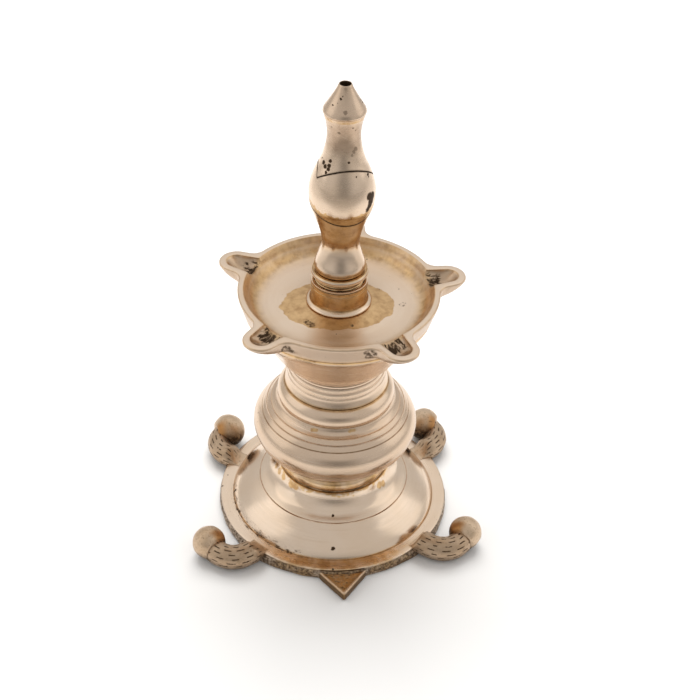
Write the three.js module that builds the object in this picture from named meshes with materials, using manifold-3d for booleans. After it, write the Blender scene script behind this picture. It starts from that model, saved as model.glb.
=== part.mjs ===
// Brass standing oil lamp (samai): a tortoise base with a turned dome, a vase-shaped stem, an oil tray with
// five wick lips, and a finial that screws into the tray's central socket.
// Millimetres, +Z up. The origin is the centre of the footprint, on the surface that the lamp stands on.
// The tortoise's head points along +Y and its tail along -Y.

import * as THREE from "three";
import * as BufferGeometryUtils from "three/addons/utils/BufferGeometryUtils.js";
import Module from "manifold-3d";

const wasm = await Module();
wasm.setup();

// ---------------------------------------------------------------- driving dimensions

const GAP = 0.3;              // clearance between touching pieces
const WALL = 2.6;             // thickness of the cast shells
const FINE = 36;              // facets round the large turned pieces
const SMALL = 24;             // facets round the small turned pieces

const RING_TOP = 5.5;         // top face of the tortoise plate
const RING_RADIUS = 55;       // turned edge of the plate
const RING_STEP = 3.4;        // height where the turned edge meets the rough casting
const RING_SEAT = 1.5;        // height of the ledge that the dome stands on
const RING_HOLE = 43;         // hole through the plate
const DOME_EDGE = 48.7;       // radius of the dome's rim
const REACH = 69;             // how far the head and the tail reach from the axis

const CROWN = 27;             // flat crown of the dome
const COLLAR_FOOT = 28.1;     // underside of the vase's foot collar
const VASE_FOOT = 33.6;       // bottom of the vase's lower shell
const BELT = 59.4;            // seam between the vase's two shells
const SHOULDER = 75.7;        // seam between the vase and its neck
const NECK_TOP = 86.4;        // mouth of the neck
const CUP_FOOT = 87.9;        // bottom of the cup under the tray
const TRAY_SEAT = 117.8;      // seam between the cup and the tray
const RIM = 126.6;            // top of the tray's rim
const RIM_RADIUS = 44.8;
const FLOOR = 119;            // the tray's floor at the foot of its wall
const SOCKET_TOP = 131.6;     // mouth of the central socket
const FLANGE_FOOT = 134.9;    // underside of the finial's flange
const STEM_FOOT = 139.6;      // bottom of the finial's bell
// The two slanted seams of the finial: height on the axis, and rise per millimetre along X and along Y.
// Behind the axis each seam levels out, at the second height, so that the belly keeps some height there.
const LOWER_SEAM = { height: 172.2, slope: [-0.1, 0.47], back: 173.6 };
const UPPER_SEAM = { height: 183, slope: [0.11, -0.86], back: 180 };
const TIP = 226.6;            // top of the lamp
const TIP_HOLE = 2;           // radius of the hole in the tip

const SPIGOT_RADIUS = 9;      // thread of the vase and of the cup, over its crests
const SPIGOT_LENGTH = 12;
const SCREW_RADIUS = 11.1;    // thread of the finial, over its crests
const SCREW_FOOT = 123.6;

const LIP_COUNT = 5;
const LIP_FIRST = THREE.MathUtils.degToRad(8.6);   // direction of the first lip, from +X towards +Y
const LIP_CENTRE = 45.2;      // radius at which each lip's spoon is centred
const LIP_SIZE = [13, 8.2, 7.4];       // half length, half width and depth of a lip
const TROUGH_SIZE = [10.2, 5.3, 5];    // the same for the trough in it

const LEG_RADIUS = 5.65;
const BALL_RADIUS = 7.2;
const LEG_HEIGHT = 5.75;      // height of a leg's centre line
const BALL_HEIGHT = 7.3;
const HIND_LEG = { angle: 45, offset: 1.5 };    // degrees from the tail, and how far the leg is set out
const FORE_LEG = { angle: 117, offset: -1.5 };

// ---------------------------------------------------------------- materials

function brass(color, roughness) {
  return new THREE.MeshStandardMaterial({ color, roughness, metalness: 1 });
}

const polishedBrass = brass(0xd9c3a4, 0.22);
const goldenBrass = brass(0xc39a5e, 0.25);
const roughBrass = brass(0xb39a78, 0.5);
const darkBrass = brass(0x8a7556, 0.55);

// ---------------------------------------------------------------- geometry helpers

function toSolid(geometry) {
  const bare = geometry.clone();
  bare.deleteAttribute("normal");
  bare.deleteAttribute("uv");
  const merged = BufferGeometryUtils.mergeVertices(bare, 1e-3);
  const position = merged.getAttribute("position");
  const corner = (index) => new THREE.Vector3().fromBufferAttribute(position, index);
  const triangles = [];
  let volume = 0;
  for (let i = 0; i < merged.index.count; i += 3) {
    const [a, b, c] = [0, 1, 2].map((k) => merged.index.getX(i + k));
    if (a === b || b === c || a === c) continue;
    triangles.push([a, b, c]);
    volume += corner(a).dot(corner(b).cross(corner(c)));
  }
  const outward = volume < 0 ? triangles.map(([a, b, c]) => [a, c, b]) : triangles;
  return new wasm.Manifold(new wasm.Mesh({
    numProp: 3,
    vertProperties: new Float32Array(position.array),
    triVerts: new Uint32Array(outward.flat()),
  }));
}

function toGeometry(solid) {
  const mesh = solid.getMesh();
  const geometry = new THREE.BufferGeometry();
  geometry.setAttribute("position", new THREE.BufferAttribute(mesh.vertProperties, 3));
  geometry.setIndex(new THREE.BufferAttribute(mesh.triVerts, 1));
  geometry.computeVertexNormals();
  return geometry;
}

// A turned solid from a closed outline of [radius, height] points.
function turned(outline, facets) {
  const points = [...outline, outline[0]].map(([radius, height]) => new THREE.Vector2(radius, height));
  return toSolid(new THREE.LatheGeometry(points, facets).rotateX(Math.PI / 2));
}

// A plain turned ring, or a disc where the inner radius is 0.
function turnedRing(inner, outer, bottom, top, facets) {
  return turned([[inner, bottom], [outer, bottom], [outer, top], [inner, top]], facets);
}

// A smooth curve through a few [radius, height] points.
function smooth(points, count) {
  const curve = new THREE.SplineCurve(points.map(([radius, height]) => new THREE.Vector2(radius, height)));
  return curve.getPoints(count).map((point) => [point.x, point.y]);
}

// The inner face of a shell: the outer line moved inwards along its normals. The line runs upwards.
function inwards(line, thickness) {
  return line.map((point, i) => {
    const before = line[Math.max(i - 1, 0)];
    const after = line[Math.min(i + 1, line.length - 1)];
    const direction = new THREE.Vector2(after[0] - before[0], after[1] - before[1]).normalize();
    return [point[0] - direction.y * thickness, point[1] + direction.x * thickness];
  });
}

// A shell under an outer line, closed by level faces at the line's two ends.
function shell(line, thickness, facets) {
  const inner = inwards(line, thickness).slice(1, -1).reverse();
  const [bottom, top] = [line[0], line[line.length - 1]];
  const ends = [[top[0] - thickness, top[1]], [bottom[0] - thickness, bottom[1]]];
  return turned([...line, ends[0], ...inner, ends[1]], facets);
}

function extruded(shape, bottom, top) {
  const options = { depth: top - bottom, bevelEnabled: false, curveSegments: 6 };
  return toSolid(new THREE.ExtrudeGeometry(shape, options).translate(0, 0, bottom));
}

function ellipsoid(halfSizes, centre, across, down) {
  const sphere = new THREE.SphereGeometry(1, across, down).rotateX(Math.PI / 2);
  return toSolid(sphere.scale(...halfSizes).translate(...centre));
}

function block(size, centre) {
  return toSolid(new THREE.BoxGeometry(...size).translate(...centre));
}

function moved(solid, matrix) {
  return toSolid(toGeometry(solid).applyMatrix4(matrix));
}

function sum(solids) {
  return solids.reduce((joined, solid) => joined.add(solid));
}

const lamp = new THREE.Group();
lamp.name = "samai";

function place(name, solid, material, group) {
  const mesh = new THREE.Mesh(toGeometry(solid), material);
  mesh.name = name;
  group.add(mesh);
}

function section(name) {
  const group = new THREE.Group();
  group.name = name;
  lamp.add(group);
  return group;
}

// ---------------------------------------------------------------- tortoise base

// Radius of the rough casting's edge: a circle that swells where the legs and the tail are joined on.
function castingRadius(angle, clearance) {
  const tail = -Math.PI / 2;
  const turn = Math.abs(Math.atan2(Math.sin(angle - tail), Math.cos(angle - tail)));
  const swellings = [HIND_LEG.angle, FORE_LEG.angle].map((degrees) => THREE.MathUtils.degToRad(degrees));
  const swell = (from) => Math.exp(-(((turn - from) / 0.2) ** 2));
  const legs = 1.1 * swell(swellings[0]) + 0.8 * swell(swellings[1]);
  return RING_RADIUS + 0.4 + clearance + legs + 0.5 * swell(0);
}

function castingOutline(clearance) {
  const points = [];
  const steps = 60;
  for (let i = 0; i < steps; i += 1) {
    const angle = (2 * Math.PI * i) / steps;
    const radius = castingRadius(angle, clearance);
    points.push(new THREE.Vector2(radius * Math.cos(angle), radius * Math.sin(angle)));
  }
  return new THREE.Shape(points);
}

function baseRing() {
  const casting = extruded(castingOutline(0), 0, RING_STEP);
  const edge = turnedRing(0, RING_RADIUS, RING_STEP - 1, RING_TOP, 60);
  const hole = turnedRing(0, RING_HOLE, -1, RING_TOP + 1, FINE);
  const seat = turnedRing(0, DOME_EDGE + GAP, RING_SEAT, RING_TOP + 1, FINE);
  return casting.add(edge).subtract(hole).subtract(seat);
}

// Everything that the plate fills, grown by the gap: it is cut from each piece brazed to the plate's edge.
function plateClearance() {
  const casting = extruded(castingOutline(GAP), -1, RING_STEP + GAP);
  const edge = turnedRing(0, RING_RADIUS + GAP, 0, RING_TOP + GAP, 60);
  return casting.add(edge);
}

function leg(side, { angle, offset }, plate) {
  const turn = THREE.MathUtils.degToRad(angle);
  const at = (out, on, height) => {
    const radius = out + offset;
    const x = radius * Math.sin(turn) + on * Math.cos(turn);
    const y = -radius * Math.cos(turn) + on * Math.sin(turn);
    return new THREE.Vector3(side * x, y, height);
  };
  const centreLine = [[51, 0], [57, 0.2], [63, 2], [66.5, 6], [68, 11], [67.2, 15.5]];
  const path = new THREE.CatmullRomCurve3(centreLine.map(([out, on]) => at(out, on, LEG_HEIGHT)));
  const ring = new THREE.Shape().absarc(0, 0, LEG_RADIUS, 0, 2 * Math.PI);
  const options = { steps: 8, bevelEnabled: false, extrudePath: path, curveSegments: 5 };
  const tube = toSolid(new THREE.ExtrudeGeometry(ring, options));
  const centre = at(66.7, 17.3, BALL_HEIGHT);
  const ball = ellipsoid([BALL_RADIUS, BALL_RADIUS, BALL_RADIUS], centre.toArray(), 12, 8);
  return tube.add(ball).subtract(plate);
}

function tailPlate(plate) {
  const halfWidth = 10.4;
  const root = RING_RADIUS - 3;
  const tipRadius = 1.2;
  const outline = new THREE.Shape();
  outline.moveTo(-halfWidth, -root);
  outline.lineTo(-tipRadius, -(REACH - tipRadius * 0.6));
  outline.quadraticCurveTo(0, -(REACH + tipRadius * 0.6), tipRadius, -(REACH - tipRadius * 0.6));
  outline.lineTo(halfWidth, -root);
  outline.closePath();
  const panel = new THREE.Shape();
  panel.moveTo(-6.2, -57.2);
  panel.lineTo(0, -65.9);
  panel.lineTo(6.2, -57.2);
  panel.closePath();
  const top = RING_TOP - 0.7;
  return extruded(outline, 0, top).subtract(extruded(panel, top - 0.8, top + 1)).subtract(plate);
}

function tortoiseHead(plate) {
  const length = 7.6;
  const skull = ellipsoid([6.4, length, 5], [0, REACH - length, 6.6], 16, 10);
  const neck = ellipsoid([5, 6.6, 4.4], [0, 58.2, 5.2], 12, 8);
  const ground = block([40, 40, 10], [0, REACH - 10, -5]);
  return skull.add(neck).subtract(ground).subtract(plate);
}

function baseDome() {
  const skirt = smooth([[DOME_EDGE, 6.6], [45.6, 9.6], [41, 13.2], [35.5, 16.6]], 4);
  const rise = smooth([[35.5, 16.6], [31.2, 19], [28.2, 22.6], [26.2, CROWN]], 4).slice(1);
  const outer = [[DOME_EDGE, RING_SEAT + GAP], ...skirt, ...rise];
  const inner = [[24.2, CROWN - WALL], [26.2, 20.8], [31, 15.6], [40, 10.2], [44.2, 6]];
  const hole = SPIGOT_RADIUS + 1;
  return turned([...outer, [hole, CROWN], [hole, CROWN - WALL], ...inner, [45.2, RING_SEAT + GAP]], FINE);
}

const base = section("base");
const plate = plateClearance();
place("base_ring", baseRing(), roughBrass, base);
place("tail_plate", tailPlate(plate), goldenBrass, base);
place("tortoise_head", tortoiseHead(plate), roughBrass, base);
for (const [name, spot] of [["hind_leg", HIND_LEG], ["fore_leg", FORE_LEG]]) {
  place(`${name}_left`, leg(-1, spot, plate), roughBrass, base);
  place(`${name}_right`, leg(1, spot, plate), roughBrass, base);
}
place("base_dome", baseDome(), polishedBrass, base);
const bossTop = CROWN - WALL - GAP;
place("dome_boss", turnedRing(SPIGOT_RADIUS + GAP, 14.5, bossTop - 11, bossTop, SMALL), darkBrass, base);

// ---------------------------------------------------------------- vase

function footCollar() {
  const side = smooth([[26, COLLAR_FOOT], [26.4, 29.6], [25.9, 31.8], [24.6, VASE_FOOT - GAP]], 4);
  return turned([...side, [SPIGOT_RADIUS + 1, VASE_FOOT - GAP], [SPIGOT_RADIUS + 1, COLLAR_FOOT]], FINE);
}

function lowerShell() {
  const side = [[24.7, VASE_FOOT], [31, 38.6], [36.6, 45.2], [38.3, 52], [36.9, 56.6], [34.4, BELT]];
  const outer = smooth(side, 8);
  const inner = inwards(outer, WALL).slice(2, -1).reverse();
  const floor = VASE_FOOT + WALL;
  return turned([...outer, [34.4 - WALL, BELT], ...inner, [24, floor], [10, floor], [10, VASE_FOOT]], FINE);
}

function upperShell() {
  const flare = smooth([[34.2, BELT + GAP], [32, 62], [29.4, 63.9], [26.4, 67.4]], 4);
  const torus = smooth([[26.4, 67.4], [27, 70], [26.3, 73], [24.2, SHOULDER - GAP]], 4).slice(1);
  return shell([...flare, ...torus], WALL, FINE);
}

function vaseNeck() {
  const side = smooth([[24, SHOULDER], [23.2, 78], [22.5, 80.6]], 2);
  const steps = [[22.3, 82.6], [21.9, 83.8], [21.8, NECK_TOP]];
  return turned([...side, ...steps, [15.6, NECK_TOP], [15.6, SHOULDER]], FINE);
}

// A male threaded spigot with a flange that is brazed inside the piece it holds.
function spigot(foot, flangeFoot) {
  const flange = 13;
  const top = flangeFoot + 2;
  const core = [[0, foot], [SPIGOT_RADIUS, foot], [SPIGOT_RADIUS, flangeFoot]];
  return turned([...core, [flange, flangeFoot], [flange, top], [0, top]], SMALL);
}

const vaseSeat = section("vase_seat");
const vaseWasher = turnedRing(SPIGOT_RADIUS + GAP, 25.4, CROWN + GAP, COLLAR_FOOT - GAP, FINE);
place("vase_washer", vaseWasher, darkBrass, vaseSeat);

const vase = section("vase");
const vaseFlange = VASE_FOOT + WALL + GAP;
const vaseSpigotFoot = COLLAR_FOOT - SPIGOT_LENGTH - WALL;
place("vase_spigot", spigot(vaseSpigotFoot, vaseFlange), darkBrass, vase);
place("foot_collar", footCollar(), goldenBrass, vase);
place("vase_lower_shell", lowerShell(), polishedBrass, vase);
place("vase_upper_shell", upperShell(), polishedBrass, vase);
place("vase_neck", vaseNeck(), polishedBrass, vase);
const nutHeight = 12;
const neckNut = turnedRing(SPIGOT_RADIUS + GAP, 15.3, NECK_TOP - nutHeight, NECK_TOP, SMALL);
place("neck_nut", neckNut, darkBrass, vase);

// ---------------------------------------------------------------- cup, oil tray and socket

function bowlCup() {
  const side = [[22.2, CUP_FOOT], [24.6, 90.4], [27.4, 93.6], [33, 102.6], [37.8, 109.6], [41, 114.2]];
  const outer = smooth([...side, [42.1, TRAY_SEAT - GAP]], 6);
  const inner = inwards(outer, WALL).slice(1, -1).reverse().filter(([, height]) => height > CUP_FOOT + WALL);
  const top = [42.1 - WALL, TRAY_SEAT - GAP];
  const floor = CUP_FOOT + WALL;
  const bottom = [[21, floor], [SPIGOT_RADIUS + 1, floor], [SPIGOT_RADIUS + 1, CUP_FOOT]];
  return turned([...outer, top, ...inner, ...bottom], FINE);
}

function trayBody() {
  const under = [[SCREW_RADIUS + 1.9, 116.4], [34, 115.2], [39, TRAY_SEAT - 1.4], [39, TRAY_SEAT]];
  const band = [[42.5, TRAY_SEAT], [43.6, 121], [RIM_RADIUS, 125.4], [44.2, RIM], [42.5, RIM]];
  const wall = [[42, 125.4], [39.4, 121.6], [35.6, FLOOR]];
  const floor = smooth([[35.6, FLOOR], [29, 118.7], [21, 119.4], [13, 120.3]], 4).slice(1);
  return turned([...under, ...band, ...wall, ...floor], FINE);
}

function onEachLip(build) {
  const pieces = [];
  for (let i = 0; i < LIP_COUNT; i += 1) {
    const turn = new THREE.Matrix4().makeRotationZ(LIP_FIRST + (2 * Math.PI * i) / LIP_COUNT);
    pieces.push(moved(build(), turn));
  }
  return sum(pieces);
}

function halfSpoon(halfSizes, ceiling) {
  const spoon = ellipsoid(halfSizes, [LIP_CENTRE, 0, RIM], 16, 8);
  const above = block([60, 60, 30], [LIP_CENTRE, 0, ceiling + 15]);
  return spoon.subtract(above);
}

function oilTray() {
  const inside = turned([[0, FLOOR - 1], [35.6, FLOOR], [39.4, 121.6], [42, 125.4], [42, 130], [0, 130]], FINE);
  const spoons = onEachLip(() => halfSpoon(LIP_SIZE, RIM)).subtract(inside);
  const troughs = onEachLip(() => halfSpoon(TROUGH_SIZE, RIM + 2));
  return trayBody().add(spoons).subtract(troughs);
}

// The socket's bore goes through the tray's floor, and a bead of brazing rounds its foot.
function centreSocket() {
  const bore = SCREW_RADIUS + GAP;
  const outside = SCREW_RADIUS + 1.3;
  const bead = [[14.6, 120.7], [14.4, 121.5], [13.2, 122.4]];
  return turned([[bore, 116.4], [outside, 116.4], [outside, 120.7], ...bead, [outside, 123.4],
    [outside, SOCKET_TOP], [bore, SOCKET_TOP]], SMALL);
}

const bowlSeat = section("bowl_seat");
const bowlWasher = turnedRing(SPIGOT_RADIUS + GAP, 21.6, NECK_TOP + GAP, CUP_FOOT - GAP, FINE);
place("bowl_washer", bowlWasher, darkBrass, bowlSeat);

const bowl = section("bowl");
const cupFlange = CUP_FOOT + WALL + GAP;
place("bowl_spigot", spigot(CUP_FOOT - SPIGOT_LENGTH, cupFlange), darkBrass, bowl);
place("bowl_cup", bowlCup(), polishedBrass, bowl);
place("oil_tray", oilTray(), polishedBrass, bowl);
place("centre_socket", centreSocket(), goldenBrass, bowl);

// ---------------------------------------------------------------- finial

function finialFlange() {
  const height = 2.9;
  const top = FLANGE_FOOT + height;
  const side = [[11.6, FLANGE_FOOT], [12.4, FLANGE_FOOT + 0.9], [12.3, top - 0.5], [11.9, top]];
  return turned([[0, FLANGE_FOOT], ...side, [0, top]], SMALL);
}

function finialScrew() {
  return turnedRing(0, SCREW_RADIUS, SCREW_FOOT, FLANGE_FOOT - GAP, SMALL);
}

// The finial's outside above the bell's foot, as one line that its three cast pieces share.
const finialLine = [[11.2, STEM_FOOT], [10.9, 142], [9.6, 145.6], [8.5, 149.6], [8.3, 153], [8.9, 157],
  [10.3, 161.6], [11.8, 166], [13.6, 171.2], [14.2, 176.6], [13.7, 181.4], [11.8, 187.2], [9.4, 192.6],
  [7.7, 198.6], [7.1, 204], [7.5, 209], [8.9, 214.6]];
const finialTip = [[8.9, 215.4], [7.6, 217.8], [5.2, 221.6], [3.2, 225.2], [2.6, TIP]];

function finialHollow() {
  const bore = [[0, STEM_FOOT - 1], [7, STEM_FOOT - 1], [6, 150], [6.2, 158], [11.4, 173], [11.4, 180]];
  return turned([...bore, [5, 200], [TIP_HOLE, 218], [TIP_HOLE, TIP + 1], [0, TIP + 1]], SMALL);
}

function finialBlank() {
  const side = [...smooth(finialLine, 16), ...finialTip];
  return turned([[0, STEM_FOOT], ...side, [0, TIP]], SMALL).subtract(finialHollow());
}

// Everything below a plane that crosses the axis at a height and rises by a slope along X and along Y.
function below(height, [alongX, alongY] = [0, 0]) {
  const depth = 120;
  const normal = new THREE.Vector3(-alongX, -alongY, 1).normalize();
  const tilt = new THREE.Quaternion().setFromUnitVectors(new THREE.Vector3(0, 0, 1), normal);
  const box = new THREE.BoxGeometry(depth, depth, depth).translate(0, 0, -depth / 2);
  return toSolid(box.applyQuaternion(tilt).translate(0, 0, height));
}

const finialSeat = section("finial_seat");
const washerFoot = SOCKET_TOP + GAP;
const finialWasher = turnedRing(SCREW_RADIUS + GAP, 12.5, washerFoot, washerFoot + 0.8, SMALL);
place("finial_washer", finialWasher, polishedBrass, finialSeat);

const finial = section("finial");
const blank = finialBlank();
place("finial_screw", finialScrew(), goldenBrass, finial);
place("finial_flange", finialFlange(), goldenBrass, finial);
const underLower = (gap) =>
  below(LOWER_SEAM.height + gap, LOWER_SEAM.slope).intersect(below(LOWER_SEAM.back + gap));
const underUpper = (gap) =>
  below(UPPER_SEAM.height + gap, UPPER_SEAM.slope).add(below(UPPER_SEAM.back + gap));
const neckRing = turnedRing(7.5, 10.9, FLANGE_FOOT + 2.9 + GAP, STEM_FOOT + 0.5, SMALL);
place("finial_stem", blank.intersect(underLower(0)).add(neckRing), goldenBrass, finial);
place("finial_belly", blank.intersect(underUpper(0)).subtract(underLower(GAP)), polishedBrass, finial);
place("finial_spire", blank.subtract(underUpper(GAP * 1.3)), polishedBrass, finial);

export default lamp;
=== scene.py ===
import math

import bpy
import numpy as np
from mathutils import Matrix, Vector, noise


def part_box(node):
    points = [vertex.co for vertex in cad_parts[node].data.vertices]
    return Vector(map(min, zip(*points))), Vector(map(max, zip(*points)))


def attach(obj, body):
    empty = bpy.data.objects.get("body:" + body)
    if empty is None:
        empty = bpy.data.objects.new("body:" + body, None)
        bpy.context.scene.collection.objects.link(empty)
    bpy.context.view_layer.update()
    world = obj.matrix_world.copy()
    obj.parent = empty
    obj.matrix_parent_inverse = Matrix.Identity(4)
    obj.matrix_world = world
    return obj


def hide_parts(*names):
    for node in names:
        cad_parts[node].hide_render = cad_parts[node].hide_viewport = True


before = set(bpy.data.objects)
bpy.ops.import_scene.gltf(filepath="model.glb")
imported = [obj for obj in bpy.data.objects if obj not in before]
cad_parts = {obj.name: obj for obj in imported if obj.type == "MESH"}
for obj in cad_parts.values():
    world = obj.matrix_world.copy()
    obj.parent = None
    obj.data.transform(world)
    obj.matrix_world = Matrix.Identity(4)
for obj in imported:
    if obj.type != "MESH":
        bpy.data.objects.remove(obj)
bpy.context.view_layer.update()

bpy.ops.object.select_all(action="DESELECT")

MM = 0.001
TAU = 2 * math.pi
WELD = 0.004 * MM  # points nearer than this become one
STEPS, FINE_STEPS = 144, 160  # faces round a turned piece, and round a wide or slanted one

# ---------------------------------------------------------------- outlines, in millimetres


def curve(points, per_span=6):
    """A smooth line through a few (radius, height) points."""
    p = [np.array(q, float) for q in points]
    p = [2 * p[0] - p[1]] + p + [2 * p[-1] - p[-2]]
    line = []
    for i in range(1, len(p) - 2):
        for j in range(per_span):
            t = j / per_span
            a, b, c, d = p[i - 1 : i + 3]
            q = 2 * b + (c - a) * t + (2 * a - 5 * b + 4 * c - d) * t * t + (3 * b - a - 3 * c + d) * t**3
            line.append((float(0.5 * q[0]), float(0.5 * q[1])))
    return line + [tuple(points[-1])]


def rounded(points, closed=True, steps=3):
    """The same outline with each corner that has a third number rounded by that radius."""
    line = []
    for i, q in enumerate(points):
        at_end = not closed and i in (0, len(points) - 1)
        if len(q) < 3 or at_end:
            line.append(tuple(q[:2]))
            continue
        here = Vector(q[:2])
        before, after = Vector(points[i - 1][:2]), Vector(points[(i + 1) % len(points)][:2])
        a = here + (before - here).normalized() * min(q[2], (before - here).length * 0.49)
        b = here + (after - here).normalized() * min(q[2], (after - here).length * 0.49)
        for j in range(steps + 1):
            t = j / steps
            line.append(tuple(a * (1 - t) ** 2 + here * 2 * t * (1 - t) + b * t * t))
    return line


def inset(line, depth):
    """A line moved to the inside of the wall: the line runs upwards along the outside."""
    moved = []
    for i, q in enumerate(line):
        a, b = line[max(i - 1, 0)], line[min(i + 1, len(line) - 1)]
        d = Vector((b[0] - a[0], b[1] - a[1])).normalized()
        moved.append((q[0] - d.y * depth, q[1] + d.x * depth))
    return moved


def groove(radius, height, slope, width, depth):
    """A V groove in a wall that rises along slope, a (radius, height) direction. A depth below 0 cuts in."""
    d = Vector(slope).normalized()
    n = Vector((-d.y, d.x))
    c = Vector((radius, height))
    return [tuple(c - d * width / 2), tuple(c + n * depth), tuple(c + d * width / 2)]


def flat_ring(inner, outer, bottom, top, inner_corner=0.15, outer_corner=0.3):
    """The outline of a washer with rounded edges."""
    return rounded([(inner, bottom, inner_corner), (outer, bottom, outer_corner),
                    (outer, top, outer_corner), (inner, top, inner_corner)])


def heights(box):
    """The bottom and the top of a CAD node's box, in millimetres."""
    return box[0].z / MM, box[1].z / MM


def smoothstep(a, b, x):
    """A share that goes smoothly from 0 where x is a to 1 where it is b."""
    t = np.clip((np.asarray(x, float) - a) / (b - a), 0, 1)
    return t * t * (3 - 2 * t)


def ring_at(radius, angle, height):
    """A ring of points round the lamp's axis."""
    height = np.broadcast_to(height, angle.shape)
    return np.stack([radius * np.cos(angle), radius * np.sin(angle), height], -1)


# ---------------------------------------------------------------- making pieces


def tidy(obj, angle):
    """Merges doubled points, turns all faces outwards and smooths what bends less than the angle."""
    bpy.ops.object.mode_set(mode="EDIT")
    bpy.ops.mesh.select_all(action="SELECT")
    bpy.ops.mesh.remove_doubles(threshold=WELD)
    bpy.ops.mesh.normals_make_consistent(inside=False)
    bpy.ops.object.mode_set(mode="OBJECT")
    bpy.ops.object.shade_smooth_by_angle(angle=math.radians(angle))
    obj.select_set(False)
    return obj


def close_ends(obj, angle):
    """Fills the open ends of a sleeve, which lie out of sight against the next piece or make its tip."""
    obj.select_set(True)
    bpy.context.view_layer.objects.active = obj
    bpy.ops.object.mode_set(mode="EDIT")
    bpy.ops.mesh.select_all(action="DESELECT")
    bpy.ops.mesh.select_non_manifold()
    bpy.ops.mesh.fill_holes(sides=0)
    bpy.ops.mesh.select_all(action="SELECT")
    bpy.ops.mesh.normals_make_consistent(inside=False)
    bpy.ops.object.mode_set(mode="OBJECT")
    bpy.ops.object.shade_smooth_by_angle(angle=math.radians(angle))
    obj.select_set(False)
    return obj


def stand_for(obj, body, slot, material, *nodes):
    """Gives a piece its material and the body it moves with, and hides the CAD nodes that it replaces. slot
    is not used.
    """
    obj.data.materials.clear()
    obj.data.materials.append(material)
    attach(obj, body)
    if nodes:
        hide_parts(*nodes)
    return obj


def turned(name, outline, steps=STEPS):
    """Draws the outline as a chain of edges and spins it round the lamp's axis."""
    bpy.ops.mesh.primitive_plane_add(size=MM)
    obj = bpy.context.object
    obj.name = name
    obj.data.name = name
    bpy.ops.object.mode_set(mode="EDIT")
    bpy.ops.mesh.select_all(action="SELECT")
    bpy.ops.mesh.merge(type="CENTER")
    first = outline[0]
    bpy.ops.transform.translate(value=(first[0] * MM, 0, first[1] * MM))
    for a, b in zip(outline, [*outline[1:], first]):
        step = ((b[0] - a[0]) * MM, 0, (b[1] - a[1]) * MM)
        bpy.ops.mesh.extrude_region_move(TRANSFORM_OT_translate={"value": step})
    bpy.ops.mesh.select_all(action="SELECT")
    bpy.ops.mesh.remove_doubles(threshold=WELD)
    bpy.ops.mesh.select_all(action="SELECT")
    bpy.ops.mesh.spin(steps=steps, angle=TAU, center=(0, 0, 0), axis=(0, 0, 1))
    bpy.ops.object.mode_set(mode="OBJECT")
    return tidy(obj, 32)


def sleeve(name, columns, stations):
    """A straight sleeve of quads, ready to be shaped: returns it with each vertex's column and station."""
    bpy.ops.mesh.primitive_circle_add(vertices=columns, radius=1)
    obj = bpy.context.object
    obj.name = name
    obj.data.name = name
    bpy.ops.object.mode_set(mode="EDIT")
    bpy.ops.mesh.select_all(action="SELECT")
    for _ in range(stations - 1):
        bpy.ops.mesh.extrude_region_move(TRANSFORM_OT_translate={"value": (0, 0, 1)})
    bpy.ops.object.mode_set(mode="OBJECT")
    co = np.zeros(len(obj.data.vertices) * 3)
    obj.data.vertices.foreach_get("co", co)
    co = co.reshape(-1, 3)
    column = np.rint(np.arctan2(co[:, 1], co[:, 0]) / TAU * columns).astype(int) % columns
    return obj, column, np.rint(co[:, 2]).astype(int)


def shaped(name, points, angle, marks=None):
    """A sleeve with its vertices at points[station, column], in millimetres. marks are named numbers."""
    points = np.asarray(points)
    obj, column, station = sleeve(name, points.shape[1], points.shape[0])
    place = points[station, column] * MM
    obj.data.vertices.foreach_set("co", place.astype(np.float32).ravel())
    for key, values in (marks or {}).items():
        layer = obj.data.attributes.new(key, "FLOAT", "POINT")
        layer.data.foreach_set("value", np.asarray(values)[station, column].astype(np.float32))
    obj.data.update()
    return tidy(obj, angle)


# ---------------------------------------------------------------- materials


class Nodes:
    """Adds nodes to a node tree. Each value is a number, a tuple or the output of another node."""

    def __init__(self, tree):
        self.tree = tree

    def feed(self, socket, value):
        if isinstance(value, bpy.types.NodeSocket):
            self.tree.links.new(value, socket)
        else:
            socket.default_value = value

    def math(self, operation, *values):
        node = self.tree.nodes.new("ShaderNodeMath")
        node.operation = operation
        for socket, value in zip(node.inputs, values):
            self.feed(socket, value)
        return node.outputs[0]

    def plus(self, a, b):
        return self.math("ADD", a, b)

    def minus(self, a, b):
        return self.math("SUBTRACT", a, b)

    def size_of(self, value):
        return self.math("ABSOLUTE", value)

    def times(self, *values):
        out = values[0]
        for value in values[1:]:
            out = self.math("MULTIPLY", out, value)
        return out

    def most(self, values):
        out = values[0]
        for value in values[1:]:
            out = self.math("MAXIMUM", out, value)
        return out

    def split(self, vector):
        node = self.tree.nodes.new("ShaderNodeSeparateXYZ")
        self.feed(node.inputs[0], vector)
        return node.outputs

    def range(self, value, low, high, to_low=0.0, to_high=1.0):
        """Goes smoothly from to_low where the value is low to to_high where it is high."""
        node = self.tree.nodes.new("ShaderNodeMapRange")
        node.interpolation_type = "SMOOTHSTEP"
        self.feed(node.inputs["Value"], value)
        for key, number in (("From Min", low), ("From Max", high), ("To Min", to_low), ("To Max", to_high)):
            node.inputs[key].default_value = number
        return node.outputs["Result"]


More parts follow.
